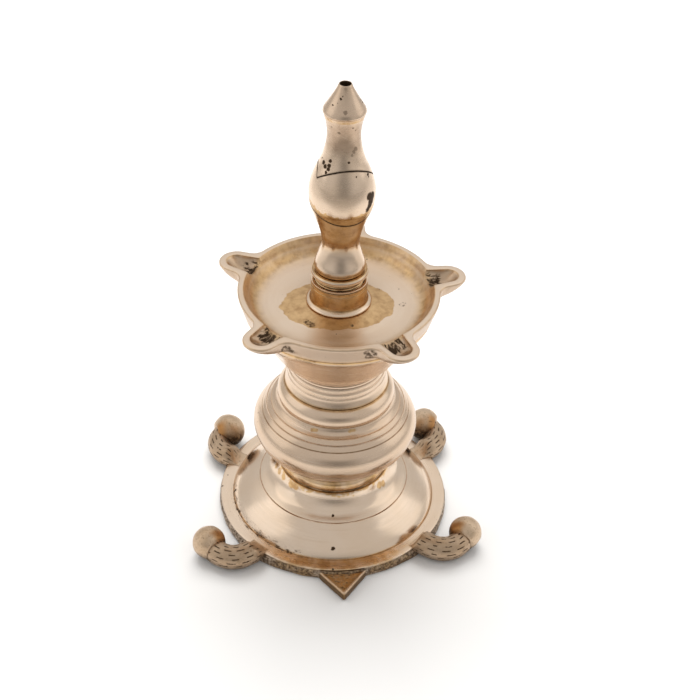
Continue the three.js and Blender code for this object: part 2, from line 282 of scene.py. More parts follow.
class Finish(Nodes):
    """A procedural material, with positions in millimetres in the lamp's own coordinates."""

    def __init__(self, name):
        self.material = bpy.data.materials.new(name)
        self.material.use_nodes = True
        super().__init__(self.material.node_tree)
        self.shader = self.tree.nodes["Principled BSDF"]
        coordinates = self.tree.nodes.new("ShaderNodeTexCoord")
        scale = self.tree.nodes.new("ShaderNodeVectorMath")
        scale.operation = "SCALE"
        scale.inputs["Scale"].default_value = 1 / MM
        self.tree.links.new(coordinates.outputs["Object"], scale.inputs[0])
        self.place = scale.outputs[0]
        self.x, self.y, self.z = self.split(self.place)
        self.radius = self.math("SQRT", self.plus(self.times(self.x, self.x), self.times(self.y, self.y)))
        self.turn = self.math("ARCTAN2", self.y, self.x)

    def vector(self, operation, *values):
        node = self.tree.nodes.new("ShaderNodeVectorMath")
        node.operation = operation
        for socket, value in zip(node.inputs, values):
            self.feed(socket, value)
        return node

    def join(self, x, y, z):
        node = self.tree.nodes.new("ShaderNodeCombineXYZ")
        for socket, value in zip(node.inputs, (x, y, z)):
            self.feed(socket, value)
        return node.outputs[0]

    def mark(self, name):
        """A number that the piece's mesh carries at each point."""
        node = self.tree.nodes.new("ShaderNodeAttribute")
        node.attribute_name = name
        return node.outputs["Fac"]

    def noise_node(self, scale, detail=2.0, roughness=0.5, place=None, distortion=0.0):
        node = self.tree.nodes.new("ShaderNodeTexNoise")
        node.inputs["Scale"].default_value = scale
        node.inputs["Detail"].default_value = detail
        node.inputs["Roughness"].default_value = roughness
        node.inputs["Distortion"].default_value = distortion
        self.tree.links.new(self.place if place is None else place, node.inputs["Vector"])
        return node

    def noise(self, *values):
        return self.noise_node(*values).outputs["Fac"]

    def patches(self, noise, low, high, to_low=0.0, to_high=1.0):
        """Soft patches. noise is its scale, detail and roughness, and the rest is as in range."""
        return self.range(self.noise(*noise), low, high, to_low, to_high)

    def ragged(self, noise, size):
        """Noise about zero that makes an edge ragged, in millimetres from peak to trough."""
        return self.times(self.minus(self.noise(*noise), 0.5), size)

    def mix(self, share, a, b):
        node = self.tree.nodes.new("ShaderNodeMix")
        node.data_type = "RGBA"
        self.feed(node.inputs["Factor"], share)
        for socket, value in zip((node.inputs[6], node.inputs[7]), (a, b)):
            self.feed(socket, (*value, 1) if isinstance(value, tuple) else value)
        return node.outputs[2]

    def near(self, place, point, inner, outer):
        """1 within the inner distance from a point and 0 past the outer one."""
        return self.range(self.vector("DISTANCE", place, point).outputs["Value"], inner, outer, 1.0, 0.0)

    def rings(self, rings):
        """Dirt in turned grooves, each given as (radius, height, half width)."""
        section = self.join(self.radius, self.z, 0.0)
        found = [self.near(section, (r, z, 0), width * 0.45, width) for r, z, width in rings]
        return self.times(self.most(found), self.patches((0.35, 3, 0.6), 0.35, 0.65, 0.55, 1.0))

    def spots(self, spots, wobble=1.1):
        """Small pits and stains, each given as (x, y, z, radius), with ragged edges."""
        shift = self.noise_node(1.3).outputs["Color"]
        moved = self.vector("MULTIPLY_ADD", shift, (wobble,) * 3, self.place).outputs[0]
        moved = self.vector("SUBTRACT", moved, (wobble / 2,) * 3).outputs[0]
        return self.most([self.near(moved, (x, y, z), radius * 0.7, radius) for x, y, z, radius in spots])

    def done(self, color, roughness, height, distance, strength=1.0, metallic=1.0):
        """Feeds the shader. distance is how deep a bump of height 1 is, in millimetres."""
        bump = self.tree.nodes.new("ShaderNodeBump")
        bump.inputs["Distance"].default_value = distance * MM
        bump.inputs["Strength"].default_value = strength
        self.feed(bump.inputs["Height"], height)
        self.feed(self.shader.inputs["Normal"], bump.outputs["Normal"])
        self.feed(self.shader.inputs["Base Color"], color)
        self.feed(self.shader.inputs["Roughness"], roughness)
        self.feed(self.shader.inputs["Metallic"], metallic)
        return self.material


PALE = (0.80, 0.628, 0.478)
SILVERY = (0.81, 0.655, 0.515)
AGED = (0.93, 0.86, 0.76)  # how much of each of these colours is left where the brass has aged
WORN = (0.62, 0.47, 0.31)
# SHADED_BRASS is a darker copy of the brass, mixed in as painted shade.
SHADED_BRASS = (0.44, 0.31, 0.215)
WARM = (0.68, 0.44, 0.20)
STAIN = (0.42, 0.23, 0.08)
GROOVE_DIRT = (0.32, 0.165, 0.06)
# These colour dirty patches and pits, and also painted shadow on the plate's side.
DIRT_AND_SHADE, BROWN_DIRT_AND_SHADE = (0.055, 0.035, 0.022), (0.10, 0.06, 0.032)

CAST, CAST_AGED, CAST_HOLLOWS = (0.68, 0.52, 0.37), (0.52, 0.36, 0.22), (0.27, 0.17, 0.095)
# BALL_REFLECTION is a painted golden reflection on the legs' balls.
CAST_WARM, CHASED, BALL_REFLECTION = (0.5, 0.27, 0.09), (0.36, 0.25, 0.165), (0.42, 0.19, 0.05)
# These colour dirty patches and also painted shade on the legs and the tail.
CAST_DIRT_AND_SHADE, CAST_BROWN_DIRT_AND_SHADE = (0.03, 0.022, 0.017), (0.12, 0.07, 0.035)


def turned_finish(name, warm=None, rings=(), spots=(), dirt_and_shade=None, painted_shade=None, rough=0.2, pale=PALE,
                  lines=0.5, pits=2.0):
    """Turned, polished brass. warm, dirt_and_shade and painted_shade are functions of the finish that give a
    share;
    painted_shade mixes in a darker copy of the brass as painted shade, and dirt_and_shade gives dirty patches
    and, for the plate, painted shadow on its side. lines and pits are the heights of the turning marks and of
    the pits under grime_and_shade."""
    f = Finish(name)
    swirl = f.join(f.radius, f.times(f.turn, 2.0), f.z)
    fine = f.noise(3.2, 2, 0.6, f.join(f.radius, f.times(f.turn, 0.35), f.z))
    aged = tuple(part * share for part, share in zip(pale, AGED))
    color = f.mix(f.patches((0.06, 3, 0.5), 0.35, 0.7, 0.0, 0.35), pale, aged)
    color = f.mix(f.range(f.noise(0.9, 4, 0.65, swirl), 0.5, 0.85, 0.0, 0.22), color, WORN)
    # Painted shade: a darker copy of the brass where the piece should look darker.
    if painted_shade:
        color = f.mix(painted_shade(f), color, SHADED_BRASS)
    if warm:
        color = f.mix(warm(f), color, f.mix(f.patches((0.25, 3, 0.6), 0.35, 0.75), WARM, STAIN))
    if rings:
        color = f.mix(f.times(f.rings(rings), 0.75), color, GROOVE_DIRT)
    grime_and_shade = [f.spots(spots)] if spots else []
    if dirt_and_shade:
        grime_and_shade.append(dirt_and_shade(f))
    roughness = f.range(f.noise(0.5, 4, 0.6, swirl), 0.3, 0.75, rough - 0.04, rough + 0.07)
    height = f.times(fine, lines)
    if grime_and_shade:
        grime_and_shade = f.most(grime_and_shade)
        color = f.mix(grime_and_shade, color, f.mix(f.noise(2.0), DIRT_AND_SHADE, BROWN_DIRT_AND_SHADE))
        roughness = f.plus(roughness, f.times(grime_and_shade, 0.35))
        height = f.minus(height, f.times(grime_and_shade, pits))
    return f.done(color, roughness, height, 0.02)


def cast_brass(f, grime_and_shade, warm=None, chased=None, rough=0.36):
    """Cast brass, filed and rubbed, darker in its grain, with painted shade in its hollows and on its
    undersides where grime_and_shade carries it. grime_and_shade is a list of shares of dirty patches and
    painted shade.
    """
    grain = f.noise(1.1, 5, 0.65)
    file_marks = f.noise(0.9, 3, 0.6, f.join(f.times(f.x, 0.35), f.y, f.times(f.z, 2.5)))
    color = f.mix(f.patches((0.11, 4, 0.6), 0.3, 0.72, 0.0, 0.8), CAST, CAST_AGED)
    color = f.mix(f.range(grain, 0.5, 0.75, 0.0, 0.65), color, CAST_HOLLOWS)
    if warm:
        color = f.mix(warm(f), color, CAST_WARM)
    if chased:
        color = f.mix(f.times(f.mark(chased), 0.5), color, CHASED)
        # Painted reflection: the warm mark paints a golden glint on each ball where it meets its leg.
        color = f.mix(f.mark("warm"), color, BALL_REFLECTION)
    # Dirty patches and the shares in grime_and_shade, which hold painted shade for the legs and the tail.
    grime_and_shade = f.most([f.patches((0.45, 5, 0.7), 0.6, 0.78, 0.0, 0.8), *grime_and_shade])
    color = f.mix(grime_and_shade, color, f.mix(f.noise(1.7), CAST_DIRT_AND_SHADE, CAST_BROWN_DIRT_AND_SHADE))
    roughness = f.plus(f.range(grain, 0.3, 0.8, rough - 0.06, rough + 0.14), f.times(grime_and_shade, 0.25))
    height = f.plus(f.times(grain, 0.9), f.times(file_marks, 0.5))
    return f.done(color, roughness, f.minus(height, f.times(grime_and_shade, 1.4)), 0.16)


def cast_finish(name, dirt_and_shade, warm=None, rough=0.36):
    """Cast brass for the tail and the head. dirt_and_shade and warm are functions of the finish that give a
    share; for the tail dirt_and_shade also paints shade on its sides.
    """
    f = Finish(name)
    return cast_brass(f, [dirt_and_shade(f)], warm, rough=rough)


def chased_dashes(f):
    """Short dashes cut along the legs, in rows that are shifted against each other."""
    row_width, dash_pitch = 2.1, 5.2
    along = f.mark("along")
    rows = f.math("DIVIDE", f.mark("around"), row_width)
    shift = f.math("FRACT", f.times(f.math("SINE", f.times(f.math("FLOOR", rows), 12.9)), 43.7))
    uneven = f.plus(along, f.times(f.noise(0.5), 3.0))
    spot = f.plus(f.math("DIVIDE", uneven, dash_pitch), shift)
    dash = f.range(f.size_of(f.minus(f.math("FRACT", spot), 0.5)), 0.2, 0.28, 1.0, 0.0)
    across = f.size_of(f.minus(f.math("FRACT", rows), 0.5))
    line = f.range(f.plus(across, f.times(f.noise(1.6), 0.12)), 0.15, 0.23, 1.0, 0.0)
    missing = f.patches((0.31, 2, 0.5), 0.34, 0.4)
    return f.times(dash, line, missing, f.mark("chased"), 0.9)


def leg_finish():
    """Cast brass with chased dashes, painted shade on the legs' undersides and inner sides, and a painted
    golden reflection on each ball, where the legs' meshes have marks for them.
    """
    f = Finish("leg_brass")
    # Painted shade on the legs' undersides and on their inner sides by the balls, from the dark mark.
    leg_shade = f.times(f.mark("dark"), f.patches((0.6, 4, 0.6), 0.25, 0.6, 0.35, 1.0))
    return cast_brass(f, [chased_dashes(f), leg_shade], chased="chased")


def inner_finish(name):
    """Rough turned brass that was never polished."""
    f = Finish(name)
    fine = f.noise(2.2, 3, 0.6, f.join(f.radius, f.times(f.turn, 0.3), f.z))
    color = f.mix(f.patches((0.2, 4, 0.6), 0.3, 0.7), (0.5, 0.36, 0.2), (0.28, 0.18, 0.09))
    color = f.mix(f.range(fine, 0.5, 0.8, 0.0, 0.6), color, (0.12, 0.08, 0.05))
    return f.done(color, f.range(fine, 0.3, 0.7, 0.35, 0.55), fine, 0.08)


def along_rim(f):
    """Noise drawn out into short scratches that run round the lamp."""
    return f.noise(1.0, 4, 0.7, f.join(f.times(f.radius, 1.1), f.times(f.turn, 14.0), 0.0))


# ---------------------------------------------------------------- tortoise base: the plate

RING_TOP = 5.5
ON_RING = RING_TOP + 0.06  # what lies on the plate stays just clear of it
HIND, FORE = (45, 1.5), (117, -1.5)  # each leg's degrees from the tail, and how much further out it stands


def casting_radius(angle):
    """Radius of the rough casting's edge, which swells towards the legs and the tail."""
    turn = np.abs(np.arctan2(np.sin(angle + math.pi / 2), np.cos(angle + math.pi / 2)))
    swell = lambda at: np.exp(-(((turn - at) / 0.2) ** 2))
    return 55.4 + 1.1 * swell(math.radians(HIND[0])) + 0.8 * swell(math.radians(FORE[0])) + 0.5 * swell(0)


def make_ring():
    """The tortoise's flat plate: a rough cast edge under a turned top, open in the middle for the dome."""
    angle = np.arange(480) / 480 * TAU

    def wave(size, height):
        places = [Vector((math.cos(a) * size, math.sin(a) * size, height)) for a in angle]
        return np.array([noise.noise(place) for place in places])

    uneven = wave(9, 0.3) * 0.3
    rings = [(43, 0.1), (43.1, 0)]
    for offset, z in [(-0.45, 0), (-0.1, 0.25), (0.0, 1.4), (0.0, 2.6), (-0.12, 3.2), (-0.45, 3.6)]:
        rings.append((casting_radius(angle) + offset + uneven * 0.7 + wave(24, z * 2) * 0.14, z))
    rings += [(54.75, 4.2), (54.95, 4.7), (54.9, 5.2), (54.6, 5.46), (54.3, 5.5), (52.5, 5.52), (50.5, 5.52)]
    rings += [(49.2, 5.5), (48.9, 5.46), (48.72, 5.3), (48.7, 3.5), (48.7, 1.6)]
    rings += [(48.5, 1.5), (43.1, 1.5), (43, 1.4), rings[0]]
    return shaped("tortoise_ring", [ring_at(radius, angle, z) for radius, z in rings], 40)


def ring_warm(f):
    return f.times(f.range(f.y, -30, -50), f.patches((0.12, 4, 0.6), 0.42, 0.6, 0.15, 1.0), 0.75)


def ring_dirt_and_shade(f):
    rough = f.patches((0.8, 5, 0.7), 0.3, 0.65, 0.25, 0.95)
    # Painted shadow: the plate's rough side under its top is painted darker and made ragged by noise; the
    # smear and the specks are dirty patches.
    edge = f.times(f.range(f.z, 5.25, 4.3), f.range(f.radius, 54.3, 54.9), rough)
    left = f.times(f.range(f.x, -8, -26), f.range(f.y, 12, -8), f.range(f.radius, 50.6, 49.1))
    smear = f.times(left, f.range(along_rim(f), 0.5, 0.62, 0.0, 0.9))
    specks = f.patches((0.9, 2, 0.5), 0.72, 0.77, 0.0, 0.9)
    return f.most([edge, smear, specks])


RING_SPOTS = [(-4.1, -54.2, 5.5, 0.6), (-54.2, 4.2, 5.5, 0.6), (-51.4, 12.0, 5.5, 0.4)]
ring_finish = turned_finish("ring_brass", ring_warm, spots=RING_SPOTS, dirt_and_shade=ring_dirt_and_shade, rough=0.29,
                            pale=SILVERY, lines=0.9)
stand_for(make_ring(), "base", "cast_brass", ring_finish, "base_ring")

# ---------------------------------------------------------------- tortoise base: the dome

DOME_FOOT = 48.65
DOME_GROOVE = (35.7, 16.5)


def dome_outline():
    skirt = curve([(DOME_FOOT - 0.02, 5.75), (47.85, 7.0), (45.6, 9.5), (41, 13.2), (36.1, 16.25)], 6)
    rise = curve([(35.3, 16.75), (31.2, 19), (28.2, 22.6), (26.7, 26.4)], 8)
    under = [(10, 24.4), (24.4, 24.4), (26.2, 20.8), (31, 15.6), (40, 10.2), (44.2, 6), (45.2, 1.9)]
    line = groove(*DOME_GROOVE, (-3.4, 2.1), 0.55, -0.3)
    crown = [(26.5, 26.85), (26.2, 27), (10.2, 27), (10, 26.8)]
    return [(DOME_FOOT - 0.2, 1.9), (DOME_FOOT, 2.1), *skirt, *line, *rise, *crown, *under]


DOME_SPOTS = [(-2.7, -32.2, 18.3, 0.8), (-3.5, -45.3, 9.7, 1.2), (-48.0, -0.6, 6.6, 0.9),
              (-36.3, 22.9, 11.6, 0.5), (-30.0, -38.6, 6.6, 0.8)]
BRAZING = [(-36.6, 22.4, 11.6, 1.0), (-38.5, 19.8, 11.0, 0.9), (-21.6, -16.8, 24.8, 2.2),
           (-19.6, -18.7, 25.1, 2.1), (20.4, -18.6, 24.0, 2.1), (22.3, -16.6, 23.2, 1.9),
           (-24.9, -11.2, 24.6, 2.0), (-26.6, -6.6, 24.2, 2.0), (-27.6, -1.6, 23.4, 2.1),
           (-28.2, 4.0, 22.2, 2.0)]


def dome_dirt(f):
    left = f.times(f.range(f.x, -8, -24), f.range(f.y, 14, -6), f.range(f.radius, 46.2, 48.6))
    return f.times(left, f.range(along_rim(f), 0.5, 0.64, 0.0, 0.9))


def dome_warm(f):
    foot = f.range(f.radius, 48.2, 48.6, 0.0, 0.6)
    brazed = f.range(f.plus(f.radius, f.ragged((0.5, 4, 0.6), 3.0)), 26.9, 26.6, 0.0, 0.9)
    return f.most([foot, brazed, f.times(f.spots(BRAZING), 0.9)])


dome_finish = turned_finish("dome_brass", dome_warm, [(*DOME_GROOVE, 0.4)], DOME_SPOTS, dome_dirt,
                            pale=SILVERY)
stand_for(turned("dome", dome_outline(), FINE_STEPS), "base", "turned_brass", dome_finish, "base_dome")

# ---------------------------------------------------------------- tortoise base: the legs


def on_plate(points, gap=0.12):
    """Moves what would lie inside the plate out of it: onto its top if that is near, else past its edge."""
    radius = np.hypot(points[..., 0], points[..., 1])
    angle = np.arctan2(points[..., 1], points[..., 0])
    edge = casting_radius(angle) + gap
    z = points[..., 2]
    inside = (radius < edge) & (z < ON_RING)
    lift = inside & ((z > 3.4) | (radius < edge - 6)) & (radius < 54.6)
    z[lift] = ON_RING
    scale = np.where(inside & ~lift, edge / np.maximum(radius, 1e-6), 1)
    points[..., 0] *= scale
    points[..., 1] *= scale
    return points


TUBE, TUBE_HEIGHT = 5.65, 5.75
LEG_LINE = curve([(50.4, 0), (54, 0.05), (57, 0.25), (60.2, 0.9), (63.1, 2.2), (65.4, 4.2), (66.9, 6.6),
                  (67.7, 9.4), (67.75, 12.6)], 8)
LEG_COLUMNS, BALL_RINGS = 72, 22


def leg_stations(ball, centre):
    """The rings of a leg as (distance out, distance along, height, radius), the number of the ball's first
    ring, and the direction in which the tube meets the ball.
    The tube follows its centre line, narrows at the crease before the ball, and the ball closes it."""
    stations = [(*point, TUBE_HEIGHT, TUBE) for point in LEG_LINE]
    start = np.array(LEG_LINE[-1])
    axis = centre - start
    length = np.hypot(*axis)
    axis /= length
    crease = math.sqrt(ball**2 - (TUBE + 0.05) ** 2)
    for t in (0.25, 0.5, 0.75):
        point = start + axis * (length - crease) * t
        stations.append((*point, TUBE_HEIGHT + 0.6 * t, TUBE - 0.2 * (t > 0.6)))
    first_ball = len(stations)
    for t in np.linspace(-math.asin(crease / ball), math.pi / 2, BALL_RINGS):
        point = centre + axis * ball * math.sin(t)
        height = ball + 0.1 - 0.9 * (1 - smoothstep(-1.0, -0.2, t))
        stations.append((*point, height, max(ball * math.cos(t), 0.01)))
    return np.array(stations, float), first_ball, axis


def leg_root(root, out, on, radius, top):
    """Half the tube's width and the height of its back, which sinks to the plate where the leg leaves it:
    'flowing' where it runs down into the plate, or 'lapped' where it ends roughly on the edge."""
    if root == "flowing":
        rise = float(smoothstep(50.2, 58.5, out + 0.4 * on))
        radius = radius * (0.82 + 0.18 * float(smoothstep(51, 57, out)))
    else:
        rise = float(smoothstep(51.8, 54.6, out)) ** 0.6
    return radius, RING_TOP + 0.08 + (top - RING_TOP) * rise


def make_leg(name, side, place, root, ball, ball_centre):
    """A curled leg: a tube that follows its centre line out of the plate and ends in a ball."""
    degrees, offset = place
    turn = math.radians(degrees)
    stations, first_ball, axis = leg_stations(ball, np.array(ball_centre))
    phi = np.arange(LEG_COLUMNS) / LEG_COLUMNS * TAU
    sideways, up = np.cos(phi), np.sin(phi)
    points = np.zeros((len(stations), LEG_COLUMNS, 3))
    # dark is painted shade on the leg's underside and inner side, and warm is a painted golden reflection on
    # the ball; along, around and chased place the chased dashes.
    marks = {key: np.zeros(points.shape[:2]) for key in ("along", "around", "dark", "warm", "chased")}
    travelled = 0.0
    for k, (out, on, height, radius) in enumerate(stations):
        if k:
            travelled += math.hypot(*(stations[k] - stations[k - 1])[:2])
        ahead, wide, top = axis, radius, height + radius
        if k < first_ball:
            ahead = (stations[k + 1] - stations[max(k - 1, 0)])[:2]
            ahead = ahead / np.hypot(*ahead)
            wide, top = leg_root(root, out, on, radius, top)
        bumps = [noise.noise(Vector((out * 0.35, on * 0.35 + side, p * 2.2))) * 0.16 for p in phi]
        bumps = np.array(bumps) * (radius > 1)
        spread = sideways * (wide + bumps)
        rise = up * (np.where(up > 0, top - height, radius) + bumps)
        o = out + ahead[1] * spread + offset
        n = on - ahead[0] * spread
        x = o * math.sin(turn) + n * math.cos(turn)
        y = -o * math.cos(turn) + n * math.sin(turn)
        points[k] = np.stack([side * x, y, np.maximum(height + rise, 0.05)], -1)

        marks["along"][k] = travelled
        marks["around"][k] = phi * TUBE
        # Painted shade: the dark mark darkens the tube's underside and, nearer the ball, its inner side,
        # where less light falls.
        low = smoothstep(-0.05, -0.75, up)
        if k < first_ball:
            late = float(smoothstep(60, 70, travelled + LEG_LINE[0][0]))
            inner = smoothstep(0.35, -0.9, sideways) * smoothstep(0.75, -0.2, up) * (0.45 + 0.4 * late)
            marks["dark"][k] = np.maximum(low * 0.85, inner)
        else:
            t = (k - first_ball) / (BALL_RINGS - 1)
            inner = smoothstep(0.1, -0.8, sideways) * smoothstep(0.75, 0.1, up) * 0.95
            marks["dark"][k] = np.maximum(low * 0.9, inner * float(smoothstep(0.95, 0.5, t)))
            # Painted reflection: the warm mark paints a golden glint on the ball where it meets the leg, as
            # the crease between them would mirror.
            crease_reflection = smoothstep(0.2, -0.3, sideways) * smoothstep(0.1, 0.5, up) * 0.85
            marks["warm"][k] = float(smoothstep(0.34, 0.1, t)) * crease_reflection
        if k < first_ball - 2:
            marks["chased"][k] = float(smoothstep(2.5, 5.5, travelled)) * smoothstep(-0.55, -0.2, up)
    return close_ends(shaped(name, on_plate(points), 60, marks), 60)


# node, side, place, root, the ball's radius, and its centre as (distance out, distance along)
LEGS = [
    ("hind_leg_left", -1, HIND, "flowing", 7.75, (67.2, 17.5)),
    ("hind_leg_right", 1, HIND, "lapped", 7.7, (66.7, 17.1)),
    ("fore_leg_left", -1, FORE, "flowing", 8.3, (65.5, 14.5)),
    ("fore_leg_right", 1, FORE, "flowing", 8.2, (65.6, 14.7)),
]
leg_brass = leg_finish()
for node, *shape in LEGS:
    stand_for(make_leg(node.replace("leg", "curl"), *shape), "base", "cast_brass", leg_brass, node)

# ---------------------------------------------------------------- tortoise base: the tail

TAIL_TOP = RING_TOP - 0.7
TAIL_PANEL = TAIL_TOP - 0.95
PER_SIDE = 18


def sides_of(corners, root_radius):
    """Points spread along the sides of a closed outline, the first side bent to an arc round the lamp."""
    line = []
    for i, q in enumerate(corners):
        after = corners[(i + 1) % len(corners)]
        for j in range(PER_SIDE):
            t = j / PER_SIDE
            line.append((q[0] + (after[0] - q[0]) * t, q[1] + (after[1] - q[1]) * t))
    line = np.array(line)
    line[:PER_SIDE, 1] = -np.sqrt(root_radius**2 - line[:PER_SIDE, 0] ** 2)
    return line


def make_tail():
    """The triangular tail: a flat plate with a raised border round a sunk panel that is open at its root."""
    outer = sides_of([(-10.4, -55.3), (11.2, -55.1), (0.75, -68.5), (-0.75, -68.5)], 56.3)
    tip = outer[:, 1] < -68.49
    outer[tip, 1] -= 0.4 * (1 - (outer[tip, 0] / 0.75) ** 2)
    panel = sides_of([(-8.6, -56.0), (9.4, -55.8), (0.2, -66.8), (-0.2, -66.8)], 56.6)
    middle = np.array([0, -60.6])
    flow = lambda share: outer * (1 - share) + panel * share
    loops = [(outer * 0.98 + middle * 0.02, 0.4), (outer, 0.7), (outer, 2.2), (outer, 3.9)]
    loops += [(flow(0.06), 4.45), (flow(0.16), TAIL_TOP - 0.08), (flow(0.3), TAIL_TOP), (flow(0.6), TAIL_TOP)]
    loops += [(flow(0.85), TAIL_TOP - 0.05), (flow(0.95), TAIL_TOP - 0.25), (panel, TAIL_TOP - 0.8)]
    loops += [(panel * 0.9 + middle * 0.1, TAIL_PANEL), (panel * 0.4 + middle * 0.6, TAIL_PANEL)]
    points = np.array([np.column_stack([xy, np.full(len(xy), z)]) for xy, z in loops])
    points[4:, 1:PER_SIDE, 2] = np.minimum(points[4:, 1:PER_SIDE, 2], TAIL_PANEL)
    grain = np.array([[noise.noise(Vector(q) * 0.9) * 0.1 for q in loop] for loop in points])
    points[..., 2] += grain * np.linspace(0, 1, len(loops))[:, None]
    return close_ends(shaped("tail", points, 45), 60)


def tail_warm(f):
    return f.times(f.range(f.z, 4.5, 4.05), f.patches((0.4, 3, 0.6), 0.3, 0.6, 0.5, 0.9))


def tail_dirt_and_shade(f):
    edge = f.plus(f.size_of(f.x), f.times(f.plus(f.y, 56.0), -0.73))
    # Painted shade: the tail's sides below its border are painted darker; the streaks in the panel are dirty
    # marks.
    side = f.times(f.range(f.z, 4.2, 3.4), f.range(edge, 9.2, 9.7), 0.75)
    streaks = f.range(f.noise(0.9, 5, 0.7, f.join(f.times(f.x, 0.5), f.y, f.z)), 0.5, 0.66, 0.0, 0.9)
    return f.most([side, f.times(f.range(edge, 9.3, 8.7), f.range(f.z, 4.4, 4.0), streaks)])


tail_finish = cast_finish("tail_brass", tail_dirt_and_shade, tail_warm, 0.32)
stand_for(make_tail(), "base", "cast_brass", tail_finish, "tail_plate")

# ---------------------------------------------------------------- tortoise base: the head

MOUTH = 5.0


def ball(radii, centre, segments=48):
    bpy.ops.mesh.primitive_uv_sphere_add(segments=segments, ring_count=segments // 2, radius=1)
    obj = bpy.context.object
    bpy.ops.object.mode_set(mode="EDIT")
    bpy.ops.mesh.select_all(action="SELECT")
    bpy.ops.transform.resize(value=[r * MM for r in radii])
    bpy.ops.transform.translate(value=[c * MM for c in centre])
    bpy.ops.object.mode_set(mode="OBJECT")
    obj.select_set(False)
    return obj


def make_head():
    """The tortoise's head, looking out from behind: neck, skull, snout and two small eyes in one skin."""
    parts = [ball((5.2, 7.0, 4.3), (0, 57.5, 5.2)), ball((6.3, 6.4, 4.9), (0, 61.6, 6.6))]
    parts.append(ball((4.4, 3.6, 3.3), (0, 65.3, 5.6)))
    parts += [ball((1.25, 1.25, 1.1), (side * 4.1, 64.1, 9.2), 24) for side in (-1, 1)]
    for part in parts:
        part.select_set(True)
    bpy.context.view_layer.objects.active = parts[0]
    bpy.ops.object.join()
    head = bpy.context.object
    head.name = "head"
    head.data.name = "head"
    remesh = head.modifiers.new("one_skin", "REMESH")
    remesh.mode = "VOXEL"
    remesh.voxel_size = 0.3 * MM
    bpy.ops.object.modifier_apply(modifier=remesh.name)
    smooth = head.modifiers.new("rubbed", "SMOOTH")
    smooth.factor = 0.5
    smooth.iterations = 4
    bpy.ops.object.modifier_apply(modifier=smooth.name)
    co = np.zeros(len(head.data.vertices) * 3)
    head.data.vertices.foreach_get("co", co)
    points = co.reshape(-1, 3) / MM
    mouth = np.exp(-(((points[:, 2] - MOUTH) / 0.3) ** 2)) * smoothstep(63.5, 66, points[:, 1])
    points[:, 1] -= 0.5 * mouth
    points[:, 2] = np.maximum(points[:, 2], 0.1)
    head.data.vertices.foreach_set("co", (on_plate(points) * MM).astype(np.float32).ravel())
    head.data.update()
    bpy.ops.object.shade_smooth()
    head.select_set(False)
    return head


def head_dirt(f):
    mouth = f.times(f.range(f.size_of(f.minus(f.z, MOUTH)), 0.5, 0.15), f.range(f.y, 63.5, 65), 0.9)
    return f.most([mouth, f.range(f.z, 3.0, 0.4, 0.0, 0.8)])


stand_for(make_head(), "base", "cast_brass", cast_finish("head_brass", head_dirt), "tortoise_head")

# ---------------------------------------------------------------- the vase's and the cup's screwed joints

THREAD_RADIUS, THREAD_PITCH, THREAD_DEPTH = 8.95, 2, 0.9
COLLAR = (12.95, 2)  # radius and thickness
SEAT_BORE = 9.35

inside_brass = inner_finish("inside_brass")


def threaded(name, radius, pitch, depth, bottom, top, collar=None):
    """A male right-hand thread cut on a solid rod. A plain collar (radius, thickness) may lie on top."""
    theta = np.arange(96) / 96 * TAU
    core = radius - 1.6 * depth
    rings = [(0.01, bottom, False), (core, bottom, False)]
    rings += [(radius, z, True) for z in np.arange(bottom, top + 1e-6, pitch / 10)]
    if collar:
        wide, end = collar[0], top + collar[1]
        rings += [(wide - 0.2, top + 0.01, False), (wide, top + 0.2, False), (wide, end - 0.2, False)]
        rings += [(wide - 0.2, end, False), (0.01, end, False)]
    else:
        rings += [(core, top, False), (0.01, top, False)]
    points = []
    for r, z, cut in rings:
        if cut:
            phase = np.mod(z / pitch - theta / TAU, 1)
            tooth = np.clip(np.abs(phase - 0.5) * 2 * 1.35 - 0.12, 0, 1)
            lead_in = float(smoothstep(bottom, bottom + pitch, z))
            run_out = float(smoothstep(top, top - pitch * 0.5, z))
            r = r - depth * tooth * (lead_in * run_out) - depth * 0.5 * (1 - lead_in)
        points.append(ring_at(r, theta, z))
    return shaped(name, points, 40)


def make_spigot(name, box):
    """A section's male thread, with the collar that holds it in the section above."""
    bottom, top = heights(box)
    return threaded(name, THREAD_RADIUS, THREAD_PITCH, THREAD_DEPTH, bottom, top - COLLAR[1], COLLAR)


vase_thread = make_spigot("vase_thread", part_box("vase_spigot"))
stand_for(vase_thread, "vase", "inner_brass", inside_brass, "vase_spigot")

# ---------------------------------------------------------------- vase: the ring it stands on


def foot_outline():
    side = curve([(26.1, 28.35), (26.45, 29.8), (26.1, 31.6), (25.0, 33.0)], 5)
    return [(10, 28.1), (25.9, 28.1), *side, (24.7, 33.28), (24.4, 33.3), (10, 33.3)]


def collar_dirt(f):
    ends = f.most([f.range(f.z, 28.5, 28.0, 0.0, 0.75), f.range(f.z, 32.6, 33.1, 0.0, 0.8)])
    return f.times(ends, f.patches((0.2, 3, 0.6), 0.35, 0.6, 0.45, 1.0))


def collar_warm(f):
    return f.patches((0.13, 3, 0.6), 0.3, 0.65, 0.35, 0.95)


collar_finish = turned_finish("collar_brass", collar_warm, dirt_and_shade=collar_dirt, rough=0.27)
stand_for(turned("foot_ring", foot_outline()), "vase", "golden_brass", collar_finish, "foot_collar")
vase_seat = turned("vase_seat_ring", flat_ring(SEAT_BORE, 25.95, 27.04, 27.86))
stand_for(vase_seat, "vase_seat", "inner_brass", collar_finish, "vase_washer")

# ---------------------------------------------------------------- vase: the lower shell


